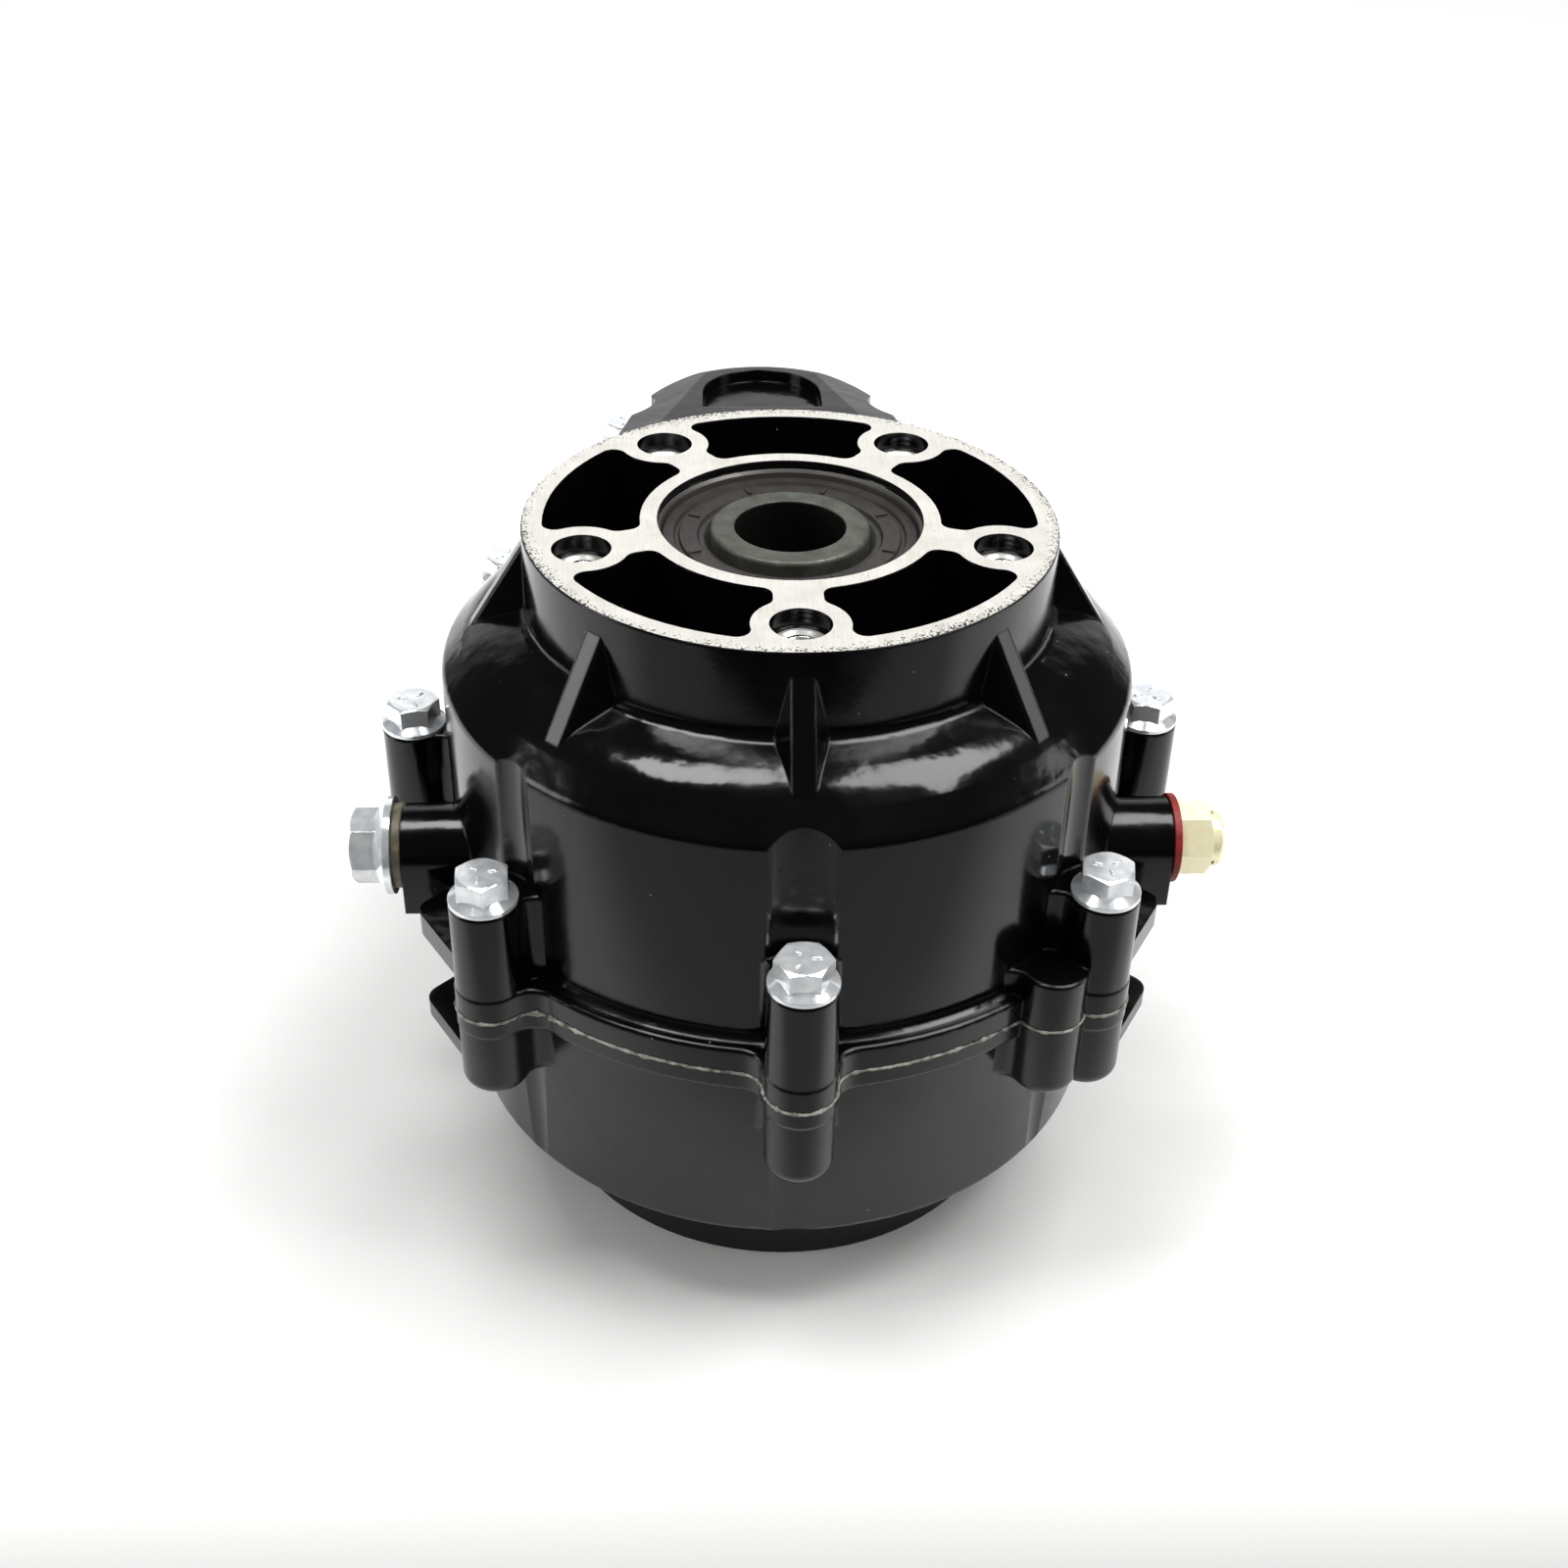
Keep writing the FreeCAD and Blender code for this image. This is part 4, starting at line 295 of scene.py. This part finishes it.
def metalSurface(look):
    material, tree = emptyMaterial(look["name"])
    place = add(tree, "TexCoord")["Object"]
    cloud = add(tree, "TexNoise", {"Scale": perMetre(look["cloud"]), "Detail": 3.0}, {"Vector": place})
    share = add(tree, "MapRange", {1: clouding["cloudFrom"], 2: clouding["cloudTo"]}, {0: cloud["Fac"]})
    skin = add(tree, "Mix", {"data_type": "RGBA", 6: linear(look["shade"]), 7: linear(look["colour"])},
               {0: share[0]})
    # painted shade: the bore is coloured black inside, where little light reaches
    if "bore" in look:
        flat = add(tree, "VectorMath", {"operation": "MULTIPLY", 1: (1, 1, 0)}, {0: place})
        fromAxis = add(tree, "VectorMath", {"operation": "LENGTH"}, {0: flat[0]})
        low, high = look["bore"]
        inside = add(tree, "MapRange", {1: low * mm, 2: high * mm, 3: 1.0, 4: 0.0}, {0: fromAxis["Value"]})
        skin = add(tree, "Mix", {"data_type": "RGBA", 7: linear(look["paintedBoreShade"])}, {0: inside[0], 6: skin[2]})
    width = look["cloud"] / clouding["cloudPerGrain"]
    grain = add(tree, "TexNoise", {"Scale": perMetre(width), "Detail": 2.0}, {"Vector": place})
    gloss = add(tree, "MapRange", {1: clouding["grainFrom"], 2: clouding["grainTo"],
                                   3: look["roughness"] * metalSpread["smoothest"],
                                   4: look["roughness"] * metalSpread["roughest"]}, {0: grain["Fac"]})
    edge = add(tree, "Bevel", {"samples": 4, "Radius": metalSpread["edgeRadius"] * mm})
    relief = add(tree, "Bump", {"Distance": look["relief"] * mm}, {"Height": grain["Fac"], "Normal": edge[0]})
    shader = add(tree, "BsdfPrincipled", {"Metallic": look["metallic"]},
                 {"Base Color": skin[2], "Roughness": gloss[0], "Normal": relief[0]})
    add(tree, "OutputMaterial", {}, {"Surface": shader[0]})
    return material


softSpread = {"smoothest": 0.85, "roughest": 1.15}
softs = {
    # silicone compound squeezed out and set: dull green grey and lumpy
    "gasket_compound": {"name": "setSiliconeSealant", "colour": "#a4a89b", "shade": "#484c42",
                        "roughness": 0.6, "grain": 0.4, "relief": 0.08},
    # nitrile rubber from a fine mould: brown black and matt
    "seal_rubber": {"name": "mouldedNitrile", "colour": "#2e2a28", "shade": "#242120", "roughness": 0.5,
                    "grain": 0.6, "relief": 0.02},
    # rubber bonded to a plated ring: olive and matt
    "sealing_washer": {"name": "bondedOliveWasher", "colour": "#6f6b55", "shade": "#504c3c", "roughness": 0.5,
                       "grain": 0.6, "relief": 0.02},
    # vulcanised fibre, punched: dark red, dry, with a faint grain
    "red_fibre": {"name": "punchedRedFibre", "colour": "#8e1a14", "shade": "#6d120d", "roughness": 0.55,
                  "grain": 0.5, "relief": 0.03}}


def softSurface(look):
    material, tree = emptyMaterial(look["name"])
    place = add(tree, "TexCoord")["Object"]
    width = look["grain"] * clouding["cloudPerGrain"]
    cloud = add(tree, "TexNoise", {"Scale": perMetre(width), "Detail": 3.0}, {"Vector": place})
    share = add(tree, "MapRange", {1: clouding["cloudFrom"], 2: clouding["cloudTo"]}, {0: cloud["Fac"]})
    skin = add(tree, "Mix", {"data_type": "RGBA", 6: linear(look["shade"]), 7: linear(look["colour"])},
               {0: share[0]})
    grain = add(tree, "TexNoise", {"Scale": perMetre(look["grain"]), "Detail": 3.0}, {"Vector": place})
    gloss = add(tree, "MapRange", {1: clouding["grainFrom"], 2: clouding["grainTo"],
                                   3: look["roughness"] * softSpread["smoothest"],
                                   4: look["roughness"] * softSpread["roughest"]}, {0: grain["Fac"]})
    relief = add(tree, "Bump", {"Distance": look["relief"] * mm}, {"Height": grain["Fac"]})
    shader = add(tree, "BsdfPrincipled", {},
                 {"Base Color": skin[2], "Roughness": gloss[0], "Normal": relief[0]})
    add(tree, "OutputMaterial", {}, {"Surface": shader[0]})
    return material


finishes = {slot: enamelledCasting(enamel) for slot, enamel in enamels.items()}
finishes.update({slot: metalSurface(look) for slot, look in metals.items()})
finishes.update({slot: softSurface(look) for slot, look in softs.items()})
for row in frame["record"]["subparts"]:
    nodes[row["node"]].data.materials.clear()
    nodes[row["node"]].data.materials.append(finishes[row["material_slot"]])
print("materials made:", len(finishes))


def meshPiece(name, builder, material, body="housing", smooth=True):
    bm = bmesh.new()
    builder(bm)
    bmesh.ops.recalc_face_normals(bm, faces=bm.faces)
    mesh = bpy.data.meshes.new(name)
    bm.to_mesh(mesh)
    bm.free()
    for face in mesh.polygons:
        face.use_smooth = smooth
    mesh.materials.append(material)
    piece = bpy.data.objects.new(name, mesh)
    bpy.context.scene.collection.objects.link(piece)
    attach(piece, body)


def tube(bm, rings, closed):
    # joins rings of points into one skin; an open run gets flat ends
    loops = [[bm.verts.new(point) for point in ring] for ring in rings]
    count = len(loops)
    for i in range(count if closed else count - 1):
        here, following = loops[i], loops[(i + 1) % count]
        for k in range(len(here)):
            n = (k + 1) % len(here)
            bm.faces.new((here[k], here[n], following[n], following[k]))
    if not closed:
        bm.faces.new(loops[0])
        bm.faces.new(loops[-1])


# Threads of the flange holes: a ridge wound inside each plain hole, with a start and an end that run out
thread = {"root": 4.52, "crest": 3.95, "crestFlat": 0.24, "pitch": 1.5, "ridgeShare": 0.88, "first": 6.2,
          "turns": 10, "steps": 28, "fadeSteps": 6, "leastRise": 0.05}


def threadRidge(bm, x, y, start, inward):
    rings = []
    total = thread["turns"] * thread["steps"]
    for i in range(total + 1):
        angle = 2 * math.pi * i / thread["steps"]
        z = start + inward * thread["pitch"] * i / thread["steps"]
        fade = max(min(1, i / thread["fadeSteps"], (total - i) / thread["fadeSteps"]), thread["leastRise"])
        crest = thread["root"] - (thread["root"] - thread["crest"]) * fade
        half = thread["pitch"] * thread["ridgeShare"] / 2
        flat = thread["crestFlat"] / 2
        profile = ((thread["root"], -half), (crest, -flat), (crest, flat), (thread["root"], half))
        rings.append([(mm * (x + radius * math.cos(angle)), mm * (y + radius * math.sin(angle)),
                       mm * (z + offset)) for radius, offset in profile])
    tube(bm, rings, False)


def flangeThreads(face, inward):
    def build(bm):
        reach = cuts["holeCircle"] / 2
        start = face + inward * thread["first"]
        for k in range(cuts["holes"]):
            angle = math.radians(cuts["holeStart"] + 360 / cuts["holes"] * k)
            threadRidge(bm, reach * math.cos(angle), reach * math.sin(angle), start, inward)
    return build


meshPiece("upper_flange_threads", flangeThreads(cuts["height"], -1), finishes["tapped"],
          smooth=False)
meshPiece("lower_flange_threads", flangeThreads(0.0, 1), finishes["tapped"], smooth=False)
print("threads cut")


# Raised marks on the bolt heads: three short bars round the middle of each
headMark = {"count": 3, "inner": 1.6, "outer": 4.4, "width": 1.0, "rise": 0.45, "sides": 10, "twist": 2.4,
            "boltReach": 16.0,  # corners within this reach belong to one bolt
            "shape": ((0.0, 0.35), (0.12, 0.9), (0.5, 1.0), (0.88, 0.9), (1.0, 0.35))}  # along, thickness


def boltMiddles():
    # the middle of each head's top, from the highest corners of the bolts' mesh
    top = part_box("housing_bolts")[1].z
    left = [v.co for v in nodes["housing_bolts"].data.vertices if v.co.z > top - 0.05 * mm]
    middles = []
    while left:
        near = [v for v in left if (v.xy - left[0].xy).length < headMark["boltReach"] * mm]
        left = [v for v in left if (v.xy - left[0].xy).length >= headMark["boltReach"] * mm]
        xs, ys = [v.x for v in near], [v.y for v in near]
        middles.append(Vector(((min(xs) + max(xs)) / 2, (min(ys) + max(ys)) / 2, top)))
    return middles


def headMarks(bm):
    middles = boltMiddles()
    print("bolt heads to mark:", len(middles))
    for number, middle in enumerate(middles):
        for k in range(headMark["count"]):
            angle = number * headMark["twist"] + 2 * math.pi * k / headMark["count"]
            along = Vector((math.cos(angle), math.sin(angle), 0))
            aside = Vector((-math.sin(angle), math.cos(angle), 0))
            rings = []
            for share, size in headMark["shape"]:
                reach = headMark["inner"] + (headMark["outer"] - headMark["inner"]) * share
                ring = []
                for i in range(headMark["sides"]):
                    turn = 2 * math.pi * i / headMark["sides"]
                    across = aside * (headMark["width"] / 2 * size * math.cos(turn))
                    rise = Vector((0, 0, headMark["rise"] * size * math.sin(turn)))
                    ring.append(middle + (along * reach + across + rise) * mm)
                rings.append(ring)
            tube(bm, rings, False)


meshPiece("bolt_head_marks", headMarks, finishes["zinc_steel"])
print("head marks raised")


# Sealant squeezed out along the joint: a thin, ragged bead round the outline of the case
bead = {"step": 0.4, "width": 0.42, "swell": 1.0, "stray": 0.5, "sides": 8, "flatten": 0.8, "outward": 0.1,
        "ragged": 420, "fine": 1300, "wave": 70, "lumps": 900,  # these four are per metre
        "fineShare": 0.5, "thinnest": 0.15, "waveMiddle": 0.5, "lumpShare": 0.3}


def gasketOutline():
    # the longest loop of edges that only one flat face of the gasket's top uses
    mesh = nodes["split_gasket"].data
    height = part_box("split_gasket")[1].z
    level = [abs(v.co.z - height) < 0.02 * mm for v in mesh.vertices]
    key = [(round(v.co.x * 1e6), round(v.co.y * 1e6)) for v in mesh.vertices]
    seen = {}
    for face in mesh.polygons:
        corners = list(face.vertices)
        if abs(face.normal.z) < 0.5 or not all(level[i] for i in corners):
            continue
        for a, b in zip(corners, corners[1:] + corners[:1]):
            pair = tuple(sorted((key[a], key[b])))
            seen[pair] = seen.get(pair, 0) + 1
    links = {}
    for (a, b), count in seen.items():
        if count == 1 and a != b:
            links.setdefault(a, []).append(b)
            links.setdefault(b, []).append(a)
    best, longest, left = [], 0, set(links)
    while left:
        start = left.pop()
        loop, here, last = [start], start, None
        while True:
            onward = [p for p in links[here] if p != last and p in left]
            if not onward:
                break
            last, here = here, onward[0]
            left.discard(here)
            loop.append(here)
        length = sum(math.dist(a, b) for a, b in zip(loop, loop[1:] + loop[:1]))
        if length > longest:
            best, longest = loop, length
    return [Vector((x / 1e6, y / 1e6, 0)) for x, y in best]


def evenly(loop, step):
    points, carry = [], 0.0
    for a, b in zip(loop, loop[1:] + loop[:1]):
        length = (b - a).length
        if length < 1e-9:
            continue
        while carry < length:
            points.append(a.lerp(b, carry / length))
            carry += step
        carry -= length
    return points


def sealantBead(bm):
    low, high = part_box("split_gasket")
    height = (low.z + high.z) / 2
    path = evenly(gasketOutline(), bead["step"] * mm)
    count = len(path)
    area = sum(a.x * b.y - a.y * b.x for a, b in zip(path, path[1:] + path[:1]))
    facing = 1 if area > 0 else -1
    rings = []
    for i, point in enumerate(path):
        along = (path[(i + 1) % count] - path[i - 1]).normalized()
        outward = Vector((along.y, -along.x, 0)) * facing
        fine = noise.noise(point * bead["fine"] + Vector((3, 1, 7)))
        ragged = noise.noise(point * bead["ragged"]) + bead["fineShare"] * fine
        wave = noise.noise(point * bead["wave"] + Vector((9, 2, 4)))
        swelling = max(0, ragged) * max(bead["thinnest"], bead["waveMiddle"] + wave)
        radius = mm * (bead["width"] + bead["swell"] * swelling)
        rise = Vector((0, 0, height + mm * bead["stray"] * ragged * wave))
        middle = point + outward * radius * bead["outward"] + rise
        ring = []
        for k in range(bead["sides"]):
            angle = 2 * math.pi * k / bead["sides"]
            lump = 1 + bead["lumpShare"] * noise.noise((point + Vector((0, 0, k * 0.01))) * bead["lumps"])
            way = outward * math.cos(angle) * bead["flatten"] + Vector((0, 0, math.sin(angle)))
            ring.append(middle + way * radius * lump)
        rings.append(ring)
    tube(bm, rings, True)


meshPiece("sealant_bead", sealantBead, finishes["gasket_compound"])
print("sealant bead laid")


def seenDirectly(tree):
    # 1 for the camera's rays and for those that metal or glass sends on, else 0
    rays = add(tree, "LightPath")
    onward = add(tree, "Math", {"operation": "MAXIMUM"},
                 {0: rays["Is Glossy Ray"], 1: rays["Is Transmission Ray"]})
    return add(tree, "Math", {"operation": "MAXIMUM"}, {0: rays["Is Camera Ray"], 1: onward[0]})[0]


# White paper on a table: matt, with painted shade that greys it toward its end a little in front of the case.
# Away from the case it glows to the eye as painted light, fading toward the front, so that it looks white and
# still holds the shadow.
paper = {"width": 3200, "back": 3400, "front": -340, "colour": "#dededd", "paintedFrontShade": "#a0a09f",
         "shadeFrom": -195, "shadeTo": -135, "glow": 0.5, "glowFront": 0.04, "glowFrom": -120, "glowTo": 400,
         "shadowMiddle": (0, 50, 0), "shadowFrom": 70, "shadowTo": 220}


def layPaper():
    side, front, back = paper["width"] / 2 * mm, paper["front"] * mm, paper["back"] * mm
    mesh = bpy.data.meshes.new("studioFloor")
    corners = [(-side, front, 0), (side, front, 0), (side, back, 0), (-side, back, 0)]
    mesh.from_pydata(corners, [], [(0, 1, 2, 3)])
    floor = bpy.data.objects.new("studioFloor", mesh)
    bpy.context.scene.collection.objects.link(floor)
    material, tree = emptyMaterial("whitePaper")
    place = add(tree, "TexCoord")["Object"]
    along = add(tree, "SeparateXYZ", {}, {0: place})[1]
    # painted shade: the paper turns grey toward its front end
    share = add(tree, "MapRange", {1: paper["shadeFrom"] * mm, 2: paper["shadeTo"] * mm}, {0: along})
    colour = add(tree, "Mix", {"data_type": "RGBA", 6: linear(paper["paintedFrontShade"]), 7: linear(paper["colour"])},
                 {0: share[0]})
    diffuse = add(tree, "BsdfDiffuse", {}, {"Color": colour[2]})
    # painted light: the glow weakens toward the front and fades out near the case
    glow = add(tree, "MapRange", {1: paper["glowFrom"] * mm, 2: paper["glowTo"] * mm, 3: paper["glowFront"],
                                  4: paper["glow"]}, {0: along})
    middle = [v * mm for v in paper["shadowMiddle"]]
    fromObject = add(tree, "VectorMath", {"operation": "DISTANCE", 1: middle}, {0: place})
    outside = add(tree, "MapRange", {1: paper["shadowFrom"] * mm, 2: paper["shadowTo"] * mm},
                  {0: fromObject["Value"]})
    glow = add(tree, "Math", {"operation": "MULTIPLY"}, {0: glow[0], 1: outside[0]})
    glow = add(tree, "Math", {"operation": "MULTIPLY"}, {0: glow[0], 1: seenDirectly(tree)})
    light = add(tree, "Emission", {"Color": linear("#ffffff")}, {"Strength": glow[0]})
    both = add(tree, "AddShader", {}, {0: diffuse[0], 1: light[0]})
    add(tree, "OutputMaterial", {}, {"Surface": both[0]})
    mesh.materials.append(material)


# The room: a white backdrop behind, a dark ceiling, and dark sides and front that the black enamel
# mirrors. Soft light of one level comes from everywhere.
room = {"level": 0.5, "backdrop": 0.95, "ceiling": 0.05, "underneath": 0.02,
        "liftFrom": 0.25, "liftTo": 0.45, "horizonFrom": -0.02, "horizonTo": 0.0,
        "overhead": (0, -0.5, 0.866), "overheadFrom": 0.135, "overheadTo": 0.16,
        "backFrom": 0.7, "backTo": 0.85}


def buildRoom():
    world = bpy.data.worlds.new("studioRoom")
    bpy.context.scene.world = world
    world.use_nodes = True
    tree = world.node_tree
    tree.nodes.clear()
    direction = add(tree, "TexCoord")["Generated"]
    axes = add(tree, "SeparateXYZ", {}, {0: direction})
    lift = add(tree, "MapRange", {1: room["liftFrom"], 2: room["liftTo"]}, {0: axes[2]})
    overhead = add(tree, "VectorMath", {"operation": "DOT_PRODUCT", 1: room["overhead"]}, {0: direction})
    overhead = add(tree, "MapRange", {1: room["overheadFrom"], 2: room["overheadTo"]}, {0: overhead["Value"]})
    dark = add(tree, "Math", {"operation": "MULTIPLY"}, {0: lift[0], 1: overhead[0]})
    aside = add(tree, "MapRange", {1: room["backFrom"], 2: room["backTo"], 3: 1.0, 4: 0.0}, {0: axes[1]})
    dark = add(tree, "Math", {"operation": "MAXIMUM"}, {0: dark[0], 1: aside[0]})
    above = add(tree, "MapRange", {3: room["backdrop"], 4: room["ceiling"]}, {0: dark[0]})
    horizon = add(tree, "MapRange", {1: room["horizonFrom"], 2: room["horizonTo"]}, {0: axes[2]})
    shown = add(tree, "Mix", {"data_type": "FLOAT", 2: room["underneath"]}, {0: horizon[0], 3: above[0]})
    level = add(tree, "Mix", {"data_type": "FLOAT", 2: room["level"]}, {0: seenDirectly(tree), 3: shown[0]})
    background = add(tree, "Background", {"Color": linear("#ffffff")}, {"Strength": level[0]})
    add(tree, "OutputWorld", {}, {"Surface": background[0]})


# Four soft boxes: two long ones overhead draw the bands on the shoulder, two light the sides
softBoxes = {"overheadLeft": {"place": (-280, -40, 1250), "size": (360, 600), "power": 8.6},
             "overheadRight": {"place": (500, -80, 1120), "size": (540, 600), "power": 10.4},
             "leftFill": {"place": (-1200, -160, 460), "size": (420, 500), "power": 3.2},
             "rightFill": {"place": (1200, -60, 460), "size": (360, 500), "power": 1.6}}
aim = Vector((0, 30, 120)) * mm  # all four look at the middle of the case


def hangSoftBox(name, box):
    light = bpy.data.lights.new(name, "AREA")
    light.shape = "RECTANGLE"
    light.size, light.size_y = [side * mm for side in box["size"]]
    light.energy = box["power"]
    lamp = bpy.data.objects.new(name, light)
    lamp.location = Vector(box["place"]) * mm
    lamp.rotation_euler = (aim - lamp.location).to_track_quat("-Z", "Y").to_euler()
    lamp.visible_camera = False
    bpy.context.scene.collection.objects.link(lamp)


layPaper()
buildRoom()
for name, box in softBoxes.items():
    hangSoftBox(name, box)
print("studio lit with", len(softBoxes), "soft boxes")
